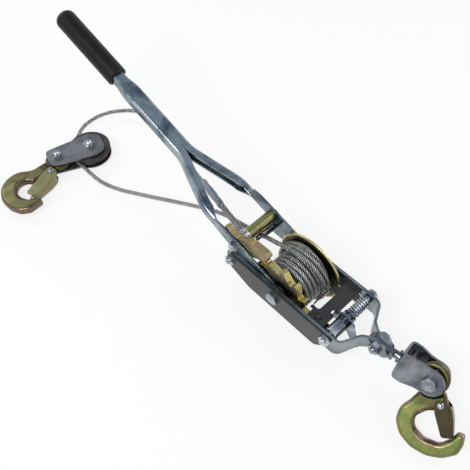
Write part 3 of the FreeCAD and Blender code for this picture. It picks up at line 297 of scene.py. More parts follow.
    def blend(self, factor: Any, first: Any, second: Any) -> Any:
        """Blend two shader nodes by a factor and return what comes out."""
        inputs = {0: factor, 1: first.outputs[0], 2: second.outputs[0]}
        return self.node("ShaderNodeMixShader", None, inputs).outputs[0]

    def seen(self) -> Term:
        """Tell the rays that see a surface from those that carry its light.

        Returns:
            1 for camera, glossy and transmission rays, and 0 for the others.
        """
        path = self.node("ShaderNodeLightPath").outputs
        camera, glossy, through = (
            Term(self, path[f"Is {kind} Ray"]) for kind in ("Camera", "Glossy", "Transmission"))
        return camera.larger(glossy).larger(through)


class FinishGraph(Graph):
    """The nodes of one finish, behind a Principled shader."""

    def __init__(self, name: str) -> None:
        """Start the material.

        Args:
            name: The material's name.
        """
        self.material = bpy.data.materials.new(name)
        super().__init__(self.material)
        output = self.node("ShaderNodeOutputMaterial")
        self.shader = self.node("ShaderNodeBsdfPrincipled")
        self.feed(output.inputs[0], self.shader.outputs[0])

    def finish(self, **values: Any) -> bpy.types.Material:
        """Set the Principled shader's inputs.

        Args:
            values: The inputs by name, with _ for a space.

        Returns:
            The finished material.
        """
        for key, value in values.items():
            self.feed(self.shader.inputs[key.replace("_", " ")], value)
        return self.material


# In every finish, rough is the lowest and highest roughness, and relief is the strength and
# the depth in metres of the bump.


@dataclass(frozen=True)
class BrightZinc:
    """Blue passivated zinc on pressed steel: pale, a little cloudy, with fine drawing marks."""

    name: str
    light: tuple = (0.34, 0.37, 0.385)
    deep: tuple = (0.15, 0.18, 0.215)
    warm: tuple = (0.26, 0.25, 0.20)
    warm_share: float = 0.45
    # top, where given, is painted shade: the colour that upward-facing surfaces are darkened to.
    top: tuple | None = None
    top_shade_share: float = 0.85
    rough: tuple = (0.16, 0.40)
    relief: tuple = (0.12, 0.0004)
    streak: tuple = (18.0, 260.0, 260.0)

    def build(self) -> bpy.types.Material:
        """Make the material.

        Returns:
            The material.
        """
        g = FinishGraph(self.name)
        cloud = g.noise(26.0, 4.0, 0.6, distortion=0.4)
        fine = g.noise(210.0, 3.0, 0.6)
        drawn = g.noise(9.0, 5.0, 0.65, g.stretched(self.streak))
        tone = g.smooth(cloud * 0.6 + drawn * 0.4, 0.40, 0.60)
        colour = g.mix(tone, self.deep, self.light)
        stain = g.patches(0.58, 0.78, 15.0, 5.0, 0.7, 1.2)
        colour = g.mix(stain * self.warm_share, colour, self.warm)
        # Upward-facing surfaces are darkened toward top: painted shade for a dark reflection
        # overhead.
        if self.top is not None:
            above = g.smooth(g.toward(UP) + cloud * 0.3, 0.75, 1.05)
            colour = g.mix(above * self.top_shade_share, colour, self.top)
        spangle = g.spots(420.0)
        height = drawn * 0.5 + fine * 0.35 + spangle * 0.25
        return g.finish(
            Base_Color=colour, Metallic=1.0, Normal=g.bump(height, *self.relief),
            Roughness=g.span(fine * 0.5 + cloud * 0.5, *self.rough))


@dataclass(frozen=True)
class GoldZinc:
    """Yellow passivated zinc: gold edges, partly a painted highlight, and olive or pink flats,
    partly painted shade.
    """

    name: str
    edge: tuple = (0.68, 0.58, 0.23)
    green: tuple = (0.085, 0.082, 0.035)
    pink: tuple = (0.15, 0.105, 0.06)
    pink_share: float = 0.18
    flat_share: float = 0.95
    seam: tuple = (0.035, 0.026, 0.010)
    seam_share: float = 0.62
    grime: tuple = (0.05, 0.04, 0.02)
    grime_share: float = 0.2
    rough: tuple = (0.16, 0.36)
    relief: tuple = (0.10, 0.0004)
    scale: float = 34.0
    leaf: float = 0.00215
    leaf_from: float = AXLE.y - 0.0309
    barrel: tuple | None = None
    barrel_from: float = AXLE.y - 0.0205
    barrel_blend: float = 0.001

    def build(self) -> bpy.types.Material:
        """Make the material.

        Returns:
            The material.
        """
        g = FinishGraph(self.name)
        # Faces across the axle take the dark olive and pink, chromate colour with painted shade;
        # the rest keep the bright edge colour, partly a painted highlight.
        flat = g.smooth(g.facing(ACROSS), 0.55, 0.92) * self.flat_share
        side = g.mix(g.patches(0.36, 0.64, self.scale, 4.0, 0.6, 1.6), self.green, self.pink)
        bloom = g.patches(0.42, 0.7, self.scale * 1.7, 3.0, 0.6)
        rim = g.mix(bloom * self.pink_share, self.edge, self.pink)
        depth = g.parts(g.place())[1]
        leaves = (depth - self.leaf_from) / self.leaf
        seams = g.smooth((leaves * FULL_TURN).cosine(), 0.60, 0.97)
        rim = g.mix(seams * self.seam_share, rim, self.seam)
        if self.barrel is not None:
            past = g.smooth(depth, self.barrel_from, self.barrel_from + self.barrel_blend)
            rim = g.mix(past, rim, self.barrel)
        colour = g.mix(flat, rim, side)
        fine = g.noise(260.0, 3.0, 0.6)
        dirt = g.patches(0.6, 0.8, 70.0, 5.0, 0.7)
        colour = g.mix(dirt * self.grime_share, colour, self.grime)
        return g.finish(
            Base_Color=colour, Metallic=1.0, Roughness=g.span(fine, *self.rough),
            Normal=g.bump(fine, *self.relief))


@dataclass(frozen=True)
class FlangeZinc:
    """The far flange: a brown olive dish inside a thin bright rim, the rim a painted highlight."""

    name: str
    rim: tuple = (0.50, 0.45, 0.19)
    dish: tuple = (0.060, 0.050, 0.026)
    blush: tuple = (0.11, 0.085, 0.045)
    rim_highlight_from: float = 0.0452
    rim_highlight_blend: float = 0.0016
    marks: float = 2600.0
    rough: tuple = (0.22, 0.42)
    relief: tuple = (0.12, 0.0003)

    def build(self) -> bpy.types.Material:
        """Make the material.

        Returns:
            The material.
        """
        g = FinishGraph(self.name)
        radius = g.distance(AXLE, (1.0, 0.0, 1.0))
        # The thin bright ring at the flange's edge is a painted highlight.
        edge = g.smooth(radius, self.rim_highlight_from, self.rim_highlight_from + self.rim_highlight_blend)
        inner = g.mix(g.patches(0.35, 0.68, 40.0, 4.0, 0.6, 1.0), self.dish, self.blush)
        colour = g.mix(edge, inner, self.rim)
        turned = (radius * self.marks).sine()
        fine = g.noise(230.0, 3.0, 0.6)
        return g.finish(
            Base_Color=colour, Metallic=1.0, Roughness=g.span(fine, *self.rough),
            Normal=g.bump(turned * 0.3 + fine, *self.relief))


@dataclass(frozen=True)
class HookZinc:
    """The forged hooks: green gold on the flats, pink brown round the rims, pitted, with random
    brown patches of painted shade.

    Where a bowl is given, the colour is brown and rose round the inside of it, and the neck is
    darkened with painted shade as far as neck reaches from the pin.
    """

    name: str
    flat_axis: tuple
    gold: tuple = (0.225, 0.225, 0.075)
    green: tuple = (0.135, 0.180, 0.058)
    rose: tuple = (0.34, 0.205, 0.165)
    brown: tuple = (0.060, 0.044, 0.026)
    brown_share: float = 0.75
    bowl: tuple | None = None
    bowl_radius: float = 0.0
    bowl_blend: tuple = (0.0040, 0.0090)
    bowl_wobble: float = 0.006
    bowl_share: float = 0.9
    pin: tuple = (0.0, 0.0, 0.0)
    neck: tuple = (0.027, 0.037)
    neck_wobble: float = 0.012
    neck_shade_share: float = 0.7
    rough: tuple = (0.24, 0.46)
    relief: tuple = (0.16, 0.0005)

    def build(self) -> bpy.types.Material:
        """Make the material.

        Returns:
            The material.
        """
        g = FinishGraph(self.name)
        flat = g.facing(self.flat_axis)
        cloud = g.noise(30.0, 4.0, 0.6, distortion=1.5)
        ring = g.smooth(flat + cloud * 0.5 - 0.25, 0.45, 0.95)
        face = g.mix(g.smooth(cloud, 0.36, 0.62), self.green, self.gold)
        rims = g.mix(g.patches(0.45, 0.62, 22.0, 3.0, 0.6, 0.8), self.rose, self.gold)
        colour = g.mix(ring, rims, face)
        # Random brown patches: painted shade.
        shade = g.patches(0.56, 0.72, 13.0, 4.0, 0.65, 0.6)
        colour = g.mix(shade * self.brown_share, colour, self.brown)
        if self.bowl is not None:
            everywhere = (1.0, 1.0, 1.0)
            # Inside the bowl's radius the colour turns brown and rose.
            reach = g.distance(self.bowl, everywhere) + (cloud - 0.5) * self.bowl_wobble
            begin, end = (self.bowl_radius + blend for blend in self.bowl_blend)
            inner = 1.0 - g.smooth(reach, begin, end)
            bowl_tone = g.mix(g.patches(0.40, 0.62, 48.0, 3.0, 0.6), self.brown, self.rose)
            colour = g.mix(inner * self.bowl_share, colour, bowl_tone)
            # The neck near the pin is darkened toward brown: painted shade.
            reach = g.distance(self.pin, everywhere) + (cloud - 0.5) * self.neck_wobble
            shadow = 1.0 - g.smooth(reach, *self.neck)
            colour = g.mix(shadow * self.neck_shade_share, colour, self.brown)
        scale = g.noise(330.0, 4.0, 0.65)
        pits = g.smooth(g.spots(520.0), 0.0, 0.35)
        return g.finish(
            Base_Color=colour, Metallic=1.0, Roughness=g.span(scale, *self.rough),
            Normal=g.bump(scale * 0.6 + pits * 0.4, *self.relief))


@dataclass(frozen=True)
class BlackPaint:
    """Thin black paint over sheet steel, satin, with a little dust and orange peel."""

    name: str
    base: tuple = (0.030, 0.030, 0.032)
    dust: tuple = (0.085, 0.082, 0.078)
    dust_share: float = 0.6
    scuff: tuple = (0.16, 0.155, 0.15)
    scuff_share: float = 0.35
    rough: tuple = (0.32, 0.54)
    relief: tuple = (0.14, 0.0004)
    streak: tuple = (20.0, 300.0, 300.0)

    def build(self) -> bpy.types.Material:
        """Make the material.

        Returns:
            The material.
        """
        g = FinishGraph(self.name)
        cloud = g.noise(24.0, 5.0, 0.65, distortion=0.5)
        dusty = g.smooth(cloud, 0.42, 0.75)
        scuffed = g.smooth(g.noise(30.0, 4.0, 0.7, g.stretched(self.streak)), 0.66, 0.8)
        colour = g.mix(dusty * self.dust_share, self.base, self.dust)
        colour = g.mix(scuffed * self.scuff_share, colour, self.scuff)
        peel = g.noise(420.0, 3.0, 0.55)
        return g.finish(
            Base_Color=colour, Metallic=0.0, Specular_IOR_Level=0.55,
            Roughness=g.span(peel * 0.5 + cloud * 0.5, *self.rough),
            Normal=g.bump(peel, *self.relief))


@dataclass(frozen=True)
class DullZinc:
    """Matt grey plating on the block plates, the sheave and the drum barrel."""

    name: str
    light: tuple = (0.205, 0.21, 0.22)
    dark: tuple = (0.125, 0.13, 0.138)
    rust: tuple = (0.11, 0.085, 0.065)
    rust_share: float = 0.25
    rough: tuple = (0.36, 0.60)
    relief: tuple = (0.18, 0.0005)

    def build(self) -> bpy.types.Material:
        """Make the material.

        Returns:
            The material.
        """
        g = FinishGraph(self.name)
        cloud = g.noise(38.0, 5.0, 0.65, distortion=0.7)
        colour = g.mix(g.smooth(cloud, 0.34, 0.66), self.dark, self.light)
        stain = g.patches(0.55, 0.75, 60.0, 5.0, 0.7)
        colour = g.mix(stain * self.rust_share, colour, self.rust)
        fine = g.noise(380.0, 4.0, 0.65)
        cells = g.spots(260.0)
        return g.finish(
            Base_Color=colour, Metallic=0.95,
            Roughness=g.span(fine * 0.5 + cloud * 0.5, *self.rough),
            Normal=g.bump(fine * 0.7 + cells * 0.3, *self.relief))


@dataclass(frozen=True)
class RopeSteel:
    """Galvanised wire: bright crowns, grooves darkened as painted shade, patches of oil, seven
    fine wires to a strand.
    """

    name: str
    crown: tuple = (0.46, 0.46, 0.45)
    groove_shade: tuple = (0.022, 0.021, 0.020)
    oil: tuple = (0.17, 0.155, 0.13)
    share: float = 0.35
    wires: float = 7.0
    wire_turns: float = 90.0
    rough: tuple = (0.28, 0.44)
    relief: tuple = (0.35, 0.0004)

    def build(self) -> bpy.types.Material:
        """Make the material.

        Returns:
            The material.
        """
        g = FinishGraph(self.name)
        crowns = g.node("ShaderNodeAttribute", {"attribute_name": "crown"}).outputs["Fac"]
        flat_map = g.node("ShaderNodeUVMap", {"uv_map": "UVMap"}).outputs[0]
        along, around, _ = g.parts(flat_map)
        wire = ((around * self.wires + along * self.wire_turns) * FULL_TURN).sine()
        ridge = g.smooth(wire, -0.9, 0.6)
        # Toward the inside of each strand the colour darkens: painted shade in the grooves.
        colour = g.mix(g.smooth(crowns, 0.48, 0.97), self.groove_shade, self.crown)
        worn = g.patches(0.5, 0.72, 34.0, 4.0, 0.6)
        colour = g.mix(worn * self.share, colour, self.oil)
        # Between the fine wires the colour darkens as well: painted shade.
        colour = g.mix((1.0 - ridge) * self.share, colour, self.groove_shade)
        return g.finish(
            Base_Color=colour, Metallic=0.92, Roughness=g.span(worn, *self.rough),
            Normal=g.bump(ridge, *self.relief))


@dataclass(frozen=True)
class PressedAluminium:
    """The pressed ferrule: pale blue grey with scrape lines along its length."""

    name: str
    light: tuple = (0.30, 0.33, 0.38)
    dark: tuple = (0.14, 0.16, 0.19)
    rough: tuple = (0.28, 0.48)
    relief: tuple = (0.2, 0.0004)
    streak: tuple = (14.0, 340.0, 340.0)

    def build(self) -> bpy.types.Material:
        """Make the material.

        Returns:
            The material.
        """
        g = FinishGraph(self.name)
        lines = g.noise(9.0, 5.0, 0.7, g.stretched(self.streak))
        cloud = g.noise(45.0, 4.0, 0.6)
        colour = g.mix(g.smooth(lines * 0.6 + cloud * 0.4, 0.36, 0.64), self.dark, self.light)
        return g.finish(
            Base_Color=colour, Metallic=0.95, Roughness=g.span(cloud, *self.rough),
            Normal=g.bump(lines, *self.relief))


@dataclass(frozen=True)
class GripRubber:
    """Soft black plastic dipped over the tang, faintly mottled."""

    name: str
    base: tuple = (0.004, 0.004, 0.0043)
    bloom: tuple = (0.010, 0.0103, 0.0103)
    rough: tuple = (0.36, 0.50)
    relief: tuple = (0.18, 0.0006)

    def build(self) -> bpy.types.Material:
        """Make the material.

        Returns:
            The material.
        """
        g = FinishGraph(self.name)
        cloud = g.noise(30.0, 4.0, 0.6)
        colour = g.mix(g.smooth(cloud, 0.4, 0.7), self.base, self.bloom)
        grain = g.noise(650.0, 3.0, 0.6)
        waves = g.noise(55.0, 2.0, 0.5)
        return g.finish(
            Base_Color=colour, Roughness=g.span(cloud, *self.rough), Specular_IOR_Level=0.22,
            Normal=g.bump(grain * 0.5 + waves * 0.8, *self.relief))


def link(name: str, data: Any) -> bpy.types.Object:
    """Put an object in the scene.

    Args:
        name: Its name.
        data: Its mesh, curve, lamp or camera.

    Returns:
        The new object.
    """
    piece = bpy.data.objects.new(name, data)
    bpy.context.scene.collection.objects.link(piece)
    return piece


def begin(add: Any, name: str, **sizes: Any) -> bpy.types.Object:
    """Begin a piece from a primitive, with nothing else selected.

    Args:
        add: The operator that adds the primitive.
        name: The piece's name.
        sizes: The primitive's sizes and place.

    Returns:
        The new object.
    """
    bpy.ops.object.select_all(action="DESELECT")
    add(**sizes)
    piece = bpy.context.active_object
    piece.name = name
    return piece


@contextmanager
def editing() -> Iterator[None]:
    """Hold edit mode on the piece that is active."""
    bpy.ops.object.mode_set(mode="EDIT")
    yield
    bpy.ops.object.mode_set(mode="OBJECT")


def cut(place: Sequence[float], normal: Sequence[float], **more: Any) -> None:
    """Cut the whole of the edited piece along a plane, by its point and its normal."""
    bpy.ops.mesh.select_all(action="SELECT")
    bpy.ops.mesh.bisect(plane_co=place, plane_no=normal, **more)


def face_out() -> None:
    """Turn all faces of the edited piece outwards."""
    bpy.ops.mesh.select_all(action="SELECT")
    bpy.ops.mesh.normals_make_consistent(inside=False)


def break_edges(piece: bpy.types.Object, width: float, segments: int, sharp: float) -> None:
    """Bevel the sharp edges of a piece.

    Args:
        piece: The active piece.
        width: How far each edge is broken.
        segments: How many faces each bevel has.
        sharp: The angle from which an edge is sharp, in degrees.
    """
    bevel = piece.modifiers.new("edge", "BEVEL")
    bevel.width = width
    bevel.segments = segments
    bevel.limit_method = "ANGLE"
    bevel.angle_limit = math.radians(sharp)
    bpy.ops.object.modifier_apply(modifier=bevel.name)


def placed(x: Sequence[float], y: Sequence[float], z: Sequence[float],
           place: Sequence[float]) -> Matrix:
    """The matrix that turns the three axes to x, y and z and moves the origin to place."""
    return Matrix((*zip(x, y, z, place), (0.0, 0.0, 0.0, 1.0)))


def dress(nodes: Sequence[str], material: bpy.types.Material) -> None:
    """Give CAD pieces a material in all their slots.

    Args:
        nodes: The pieces' names.
        material: Their finish.
    """
    for name in nodes:
        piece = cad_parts[name]
        if not piece.material_slots:
            piece.data.materials.append(material)
        for slot in piece.material_slots:
            slot.material = material


def settle(piece: bpy.types.Object, material: bpy.types.Material, body: str) -> None:
    """Give a new piece its finish, body and slot.

    Args:
        piece: The new piece.
        material: Its finish.
        body: The body that it rides on.
    """
    piece.data.materials.clear()
    piece.data.materials.append(material)
    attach(piece, body)
    LOG.info("%s rides on %s", piece.name, body)


def spline_line(name: str, controls: Sequence[Sequence[float]], fineness: int = 16) -> np.ndarray:
    """The points of a smooth line led by control points.

    Args:
        name: A name for the line while it is made.
        controls: The control points, in metres.
        fineness: How many points each span gets.

    Returns:
        The line's points in order.
    """
    curve = bpy.data.curves.new(name, "CURVE")
    curve.dimensions = "3D"
    spline = curve.splines.new("NURBS")
    spline.points.add(len(controls) - 1)
    for point, place in zip(spline.points, controls):
        point.co = (*place, 1.0)
    spline.order_u = 3
    spline.use_endpoint_u = True
    spline.resolution_u = fineness
    curve.resolution_u = fineness
    holder = link(name, curve)
    bpy.context.view_layer.update()
    graph = bpy.context.evaluated_depsgraph_get()
    mesh = bpy.data.meshes.new_from_object(holder.evaluated_get(graph))
    points = np.array([tuple(v.co) for v in mesh.vertices])
    bpy.data.objects.remove(holder)
    bpy.data.curves.remove(curve)
    bpy.data.meshes.remove(mesh)
    return points


@dataclass(frozen=True)
class LaidRope:
    """A wire rope of six strands laid round a heart strand, three strands across.

    The strands are a little fuller than a third of the rope, so that they touch.
    """

    diameter: float = 0.006
    strands: int = 6
    strands_across: int = 3
    fullness: float = 1.02
    lay: float = 0.034
    sides: int = 8
    step: float = 0.003

    def resampled(self, points: np.ndarray) -> tuple:
        """Even steps along a line.

        Args:
            points: The line's points.

        Returns:
            The even points and the run up to each.
        """
        gaps = np.linalg.norm(np.diff(points, axis=0), axis=1)
        run = np.concatenate([[0.0], np.cumsum(gaps)])
        at = np.linspace(0.0, run[-1], int(round(run[-1] / self.step)) + 1)
        even = np.stack([np.interp(at, run, points[:, k]) for k in range(3)], axis=1)
        return even, at

    @staticmethod
    def frames(points: np.ndarray) -> tuple:
        """Carry a steady side direction along a line.

        Args:
            points: The line's even points.

        Returns:
            The heading and the side direction at each point.
        """
        heading = np.gradient(points, axis=0)
        heading /= np.linalg.norm(heading, axis=1)[:, None]
        side = np.zeros_like(points)
        first = np.cross(heading[0], UP)
        side[0] = first / np.linalg.norm(first)
        for index in range(1, len(points)):
            carried = side[index - 1] - heading[index] * side[index - 1].dot(heading[index])
            side[index] = carried / np.linalg.norm(carried)
        return heading, side

    def tube(self, base: int, run: np.ndarray) -> tuple:
        """The faces of one strand, closed at both ends.

        Args:
            base: The number of its first vertex.
            run: The run up to each of its rings.

        Returns:
            The faces and the map places of their corners.
        """
        faces, uvs = [], []
        for row, (u0, u1) in enumerate(zip(run, run[1:])):
            a = base + row * self.sides
            b = a + self.sides
            for k in range(self.sides):
                n = (k + 1) % self.sides
                v0, v1 = k / self.sides, (k + 1) / self.sides
                faces.append((a + k, a + n, b + n, b + k))
                uvs.extend(((u0, v0), (u0, v1), (u1, v1), (u1, v0)))
        last = base + (len(run) - 1) * self.sides
        faces.append(tuple(reversed(range(base, base + self.sides))))
        faces.append(tuple(range(last, last + self.sides)))
        uvs.extend([(run[0], 0.5)] * self.sides + [(run[-1], 0.5)] * self.sides)
        return faces, uvs

    def build(self, name: str, points: np.ndarray) -> bpy.types.Object:
        """Make the rope's mesh along a line.

        Args:
            name: The piece's name.
            points: The points of its centre line.

        Returns:
            The new object.
        """
        centre, run = self.resampled(points)
        heading, side = self.frames(centre)
        across = np.cross(heading, side)
        strand_r = self.diameter / (2.0 * self.strands_across) * self.fullness
        offset = self.diameter / 2.0 - strand_r
        turns = np.linspace(0.0, FULL_TURN, self.sides, endpoint=False)
        vertices, faces, uvs, crowns = [], [], [], []
        for strand in range(self.strands + 1):
            heart = strand == self.strands
            phase = FULL_TURN * (run / self.lay + strand / self.strands)
            out = np.cos(phase)[:, None] * side + np.sin(phase)[:, None] * across
            line = centre if heart else centre + out * offset
            along = np.gradient(line, axis=0)
            along /= np.linalg.norm(along, axis=1)[:, None]
            out = out - along * np.sum(out * along, axis=1)[:, None]
            out /= np.linalg.norm(out, axis=1)[:, None]
            other = np.cross(along, out)
            strand_faces, strand_uvs = self.tube(len(vertices), run)
            faces += strand_faces
            uvs += strand_uvs
            for spot, outward, sideways in zip(line, out, other):
                for turn in turns:
                    cos, sin = math.cos(turn), math.sin(turn)
                    vertices.append(spot + strand_r * (cos * outward + sin * sideways))
                    # crown runs from 0 inside a strand to 1 on its outside; the rope's finish
                    # paints shade by it.
                    crowns.append(0.0 if heart else 0.5 + 0.5 * cos)
        mesh = bpy.data.meshes.new(name)
        mesh.from_pydata([tuple(v) for v in vertices], [], faces)
        layer = mesh.uv_layers.new(name="UVMap")
        layer.data.foreach_set("uv", np.array(uvs, np.float32).ravel())
        crown = mesh.attributes.new("crown", "FLOAT", "POINT")
        crown.data.foreach_set("value", np.array(crowns, np.float32))
        mesh.polygons.foreach_set("use_smooth", [True] * len(mesh.polygons))
        mesh.update()
        return link(name, mesh)


@dataclass
class FreeCable:
    """The cable from the drum round the sheave and back to its ferrule and eye."""

    steel: bpy.types.Material
    aluminium: bpy.types.Material
    rope: LaidRope = field(default_factory=LaidRope)
    route: tuple = (
        (0.06917, 0.07699, 0.08176), (0.00184, 0.07699, 0.05698), (-0.05216, 0.07819, 0.0385),
        (-0.09616, 0.06549, 0.0245), (-0.15216, 0.03699, 0.0170), (-0.21416, 0.00239, 0.0147),
        (-0.2700, 0.00239, 0.0147), (-0.30017, 0.00239, 0.0147), (-0.3171, 0.0276, 0.0147),
        (-0.33426, 0.05321, 0.0147), (-0.33216, 0.09499, 0.0150), (-0.29916, 0.13399, 0.0155),
        (-0.24216, 0.14599, 0.0180), (-0.18416, 0.12499, 0.0260), (-0.13936, 0.09676, 0.04627),
        (-0.09616, 0.08549, 0.0570),
    )
    eye: Vector = field(default_factory=lambda: Vector((0.016036, 0.063986, 0.0537)))
    eye_step: float = 0.0022
    eye_radius: float = 0.00715
    # A smooth line keeps this much of its distance where its control points go round by 45.
    eye_keep: float = 0.9254
    strand: float = 0.00325
    ferrule_length: float = 0.044
    ferrule_sides: int = 40
    ferrule_half: tuple = (0.00775, 0.00465)
    # The rings that are cut on each side of the middle, those that are pressed, and the shares
    # of the height that the press and the rounded ends leave.
    rings: tuple = (0.0010, 0.0065, 0.0085, 0.0155, 0.0175)
    pressed: tuple = (0.0085, 0.0155)
    press: float = 0.86
    end_press: float = 0.90
    ferrule_edge: float = 0.0007

    def axes(self) -> tuple:
        """Work out how the ferrule lies.

        Returns:
            Its rear end, its heading, its up direction and its side direction.
        """
        rear = Vector(self.route[-1])
        along = (self.eye - rear).normalized()
        up = Vector(UP)
        up = (up - along * up.dot(along)).normalized()
        return rear, along, up, along.cross(up)

    def build_run(self) -> None:
        """Lay the free run."""
        line = spline_line("cable_route", self.route)
        piece = self.rope.build("cable_rope", line)
        even, run = self.rope.resampled(line)
        settle(piece, self.steel, "frame")
        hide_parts("cable")
        LOG.info("free cable %.4f m", run[-1])

    def build_eye(self) -> None:
        """Lay the eye round the front bolt."""
        rear, along, up, _ = self.axes()
        far = (self.eye - rear).length - self.ferrule_length
        reach = self.eye_radius / self.eye_keep
        # Each place is the way along from the bolt, and the way up from the middle.
        leg = [
            (-far - 0.012, self.strand), (-far, self.strand), (-far + 0.014, self.strand),
            (-far + 0.034, 0.0040), (-0.026, 0.0058), (-0.010, self.eye_radius * 1.01),
        ]
        bend = [(reach * math.cos(angle), reach * math.sin(angle))
                for angle in map(math.radians, (90.0, 45.0, 0.0, -45.0, -90.0))]
        flat = leg + bend + [(s, -h) for s, h in reversed(leg)]
        controls = [tuple(self.eye + along * s + up * h) for s, h in flat]
        rope = LaidRope(step=self.eye_step)
        piece = rope.build("cable_eye_rope", spline_line("eye_route", controls))
        settle(piece, self.steel, "frame")
        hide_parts("cable_eye")

    def build_ferrule(self) -> None:
        """Model the pressed ferrule with its two press bands."""
        rear, along, up, side = self.axes()
        half = self.ferrule_length / 2.0
        piece = begin(
            bpy.ops.mesh.primitive_cylinder_add, "ferrule_pressed", radius=1.0,
            vertices=self.ferrule_sides, depth=self.ferrule_length, end_fill_type="NGON",
            location=(0, 0, 0))
        piece.scale = (*self.ferrule_half, 1.0)
        bpy.ops.object.transform_apply(location=False, rotation=False, scale=True)
        with editing():
            for height in [-ring for ring in reversed(self.rings)] + list(self.rings):
                cut((0.0, 0.0, height), UP)
        for vertex in piece.data.vertices:
            ring = round(abs(vertex.co.z), 4)
            factor = self.press if ring in self.pressed else 1.0
            if abs(ring - half) < NEAR:
                factor = self.end_press
            vertex.co.y *= factor
            vertex.co.x *= 0.5 + 0.5 * factor
        break_edges(piece, self.ferrule_edge, segments=3, sharp=12.0)
        piece.matrix_world = placed(up, side, along, rear + along * half)
        bpy.ops.object.transform_apply(location=True, rotation=True, scale=True)
        with editing():
            face_out()
        bpy.ops.object.shade_smooth_by_angle(angle=math.radians(40.0))
        settle(piece, self.aluminium, "frame")
        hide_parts("ferrule")


@dataclass
class Drum:
    """The cable on the drum: one full layer from flange to flange and the start of a second."""

    steel: bpy.types.Material
    rope: LaidRope = field(default_factory=LaidRope)
    wind_radius: float = 0.0313
    layer_step: float = 0.00645
    start_angle: float = 140.0
    first_turns: float = 5.0 + 240.2 / 360.0
    climb_turns: float = 0.25
    second_turns: float = 2.0
    near_y: float = -0.0192
    far_y: float = 0.0196
    second_pitch: float = 0.0068
    straight_end: float = 0.006
    per_turn: int = 16
    fineness: int = 8

    def winding(self) -> list:
        """Wind the cable round the axle.

        Returns:
            The control points of its centre line.
        """
        total = self.first_turns + self.climb_turns + self.second_turns
        count = int(round(total * self.per_turn))
        swell = 1.0 / math.cos(math.pi / self.per_turn)
        points = []
        for index in range(-1, count + 2):
            turns = total * index / count
            inside = min(max(turns, 0.0), total)
            if inside <= self.first_turns:
                radius = self.wind_radius
                y = self.near_y + (self.far_y - self.near_y) * inside / self.first_turns
            elif inside < self.first_turns + self.climb_turns:
                part = (inside - self.first_turns) / self.climb_turns
                radius = self.wind_radius + self.layer_step * part * part * (3.0 - 2.0 * part)
                y = self.far_y
            else:
                back = inside - self.first_turns - self.climb_turns
                radius = self.wind_radius + self.layer_step
                y = self.far_y - self.second_pitch * back
            angle = math.radians(self.start_angle + 360.0 * inside)
            place = Vector((radius * math.cos(angle), y, radius * math.sin(angle)))
            if turns == inside and 0 < index < count:
                place.x *= swell
                place.z *= swell
            else:
                heading = Vector((-math.sin(angle), 0.0, math.cos(angle)))
                if turns < 0.0:
                    place -= heading * self.straight_end
                elif turns > total:
                    place += heading * self.straight_end
            points.append(tuple(AXLE + place))
        return points

    def build(self) -> None:
        """Lay the wound cable."""
        line = spline_line("winding_route", self.winding(), self.fineness)
        piece = self.rope.build("wound_rope", line)
        settle(piece, self.steel, "drum")
        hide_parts("wound_cable")


def slab(name: str, outline: list, near: float, far: float, edge: float) -> bpy.types.Object:
    """Cut a flat plate that stands across Y from a block.

    Args:
        name: The piece's name.
        outline: Its corners as x and z about the axle, in metres, going round a bulging outline.
        near: Its near face's y about the axle.
        far: Its far face's y about the axle.
        edge: How far its edges are broken.

    Returns:
        The new object, in place.
    """
    xs, zs = zip(*outline)
    # The block is larger than the outline, because a cut along its own face fails.
    spare = 0.004
    centre = Vector(((max(xs) + min(xs)) / 2, (near + far) / 2, (max(zs) + min(zs)) / 2))
    piece = begin(bpy.ops.mesh.primitive_cube_add, name, size=1.0, location=AXLE + centre)
    piece.scale = (max(xs) - min(xs) + spare, far - near, max(zs) - min(zs) + spare)
    bpy.ops.object.transform_apply(location=True, rotation=True, scale=True)
    middle = (sum(xs) / len(xs), sum(zs) / len(zs))
    with editing():
        for (x0, z0), (x1, z1) in zip(outline, outline[1:] + outline[:1]):
            out = Vector((z1 - z0, 0.0, x0 - x1)).normalized()
            if out.x * (x0 - middle[0]) + out.z * (z0 - middle[1]) < 0.0:
                out.negate()
            cut(AXLE + Vector((x0, 0.0, z0)), out, use_fill=True, clear_outer=True,
                threshold=MERGE)
        bpy.ops.mesh.select_all(action="SELECT")
        bpy.ops.mesh.remove_doubles(threshold=MERGE)
        face_out()
    break_edges(piece, edge, segments=2, sharp=30.0)
    bpy.ops.object.shade_smooth_by_angle(angle=math.radians(20.0))
    return piece


@dataclass
class ArmCheeks:
    """The deep flat cheeks of the handle's two arms, between the axle and the bend."""

    zinc: bpy.types.Material
    tilt: float = math.radians(18.5)
    inner: float = 0.03155
    outer: float = 0.03465
    edge: float = 0.0007
    outline: tuple = (
        (-0.010, -0.0128), (-0.024, -0.0128), (-0.070, -0.0090), (-0.118, -0.0079),
        (-0.118, 0.0079), (-0.104, 0.0115), (-0.030, 0.0138), (-0.010, 0.0132),
    )

    def build(self) -> None:
        """Cut both cheeks and lean them as the handle leans."""
        cos, sin = math.cos(self.tilt), math.sin(self.tilt)
        leaned = [(x * cos + z * sin, z * cos - x * sin) for x, z in self.outline]
        for name, near, far in (("arm_cheek_near", -self.outer, -self.inner),
                                ("arm_cheek_far", self.inner, self.outer)):
            piece = slab(name, leaned, near, far, self.edge)
            settle(piece, self.zinc, "handle")


@dataclass
class ChannelCorners:
    """The front corners of the cross channel's web, beside its tongue.

    Each span is a name, its front edge's x, and its near and far faces' y, about the axle.
    """

    black: bpy.types.Material
    top: float = 0.00995
    bottom: float = 0.00805
    rear: float = 0.0503
    edge: float = 0.0003
    spans: tuple = (
        ("channel_corner_wheel", 0.0460, -0.0345, -0.0219),
        ("channel_corner_near", 0.0416, -0.0221, -0.0182),
        ("channel_corner_far", 0.0416, 0.0182, 0.0223),
    )

    def build(self) -> None:
        """Cut the three corners."""
        for name, front, near, far in self.spans:
            outline = [(front, self.bottom), (self.rear, self.bottom),
                       (self.rear, self.top), (front, self.top)]
            piece = slab(name, outline, near, far, self.edge)
            settle(piece, self.black, "frame")


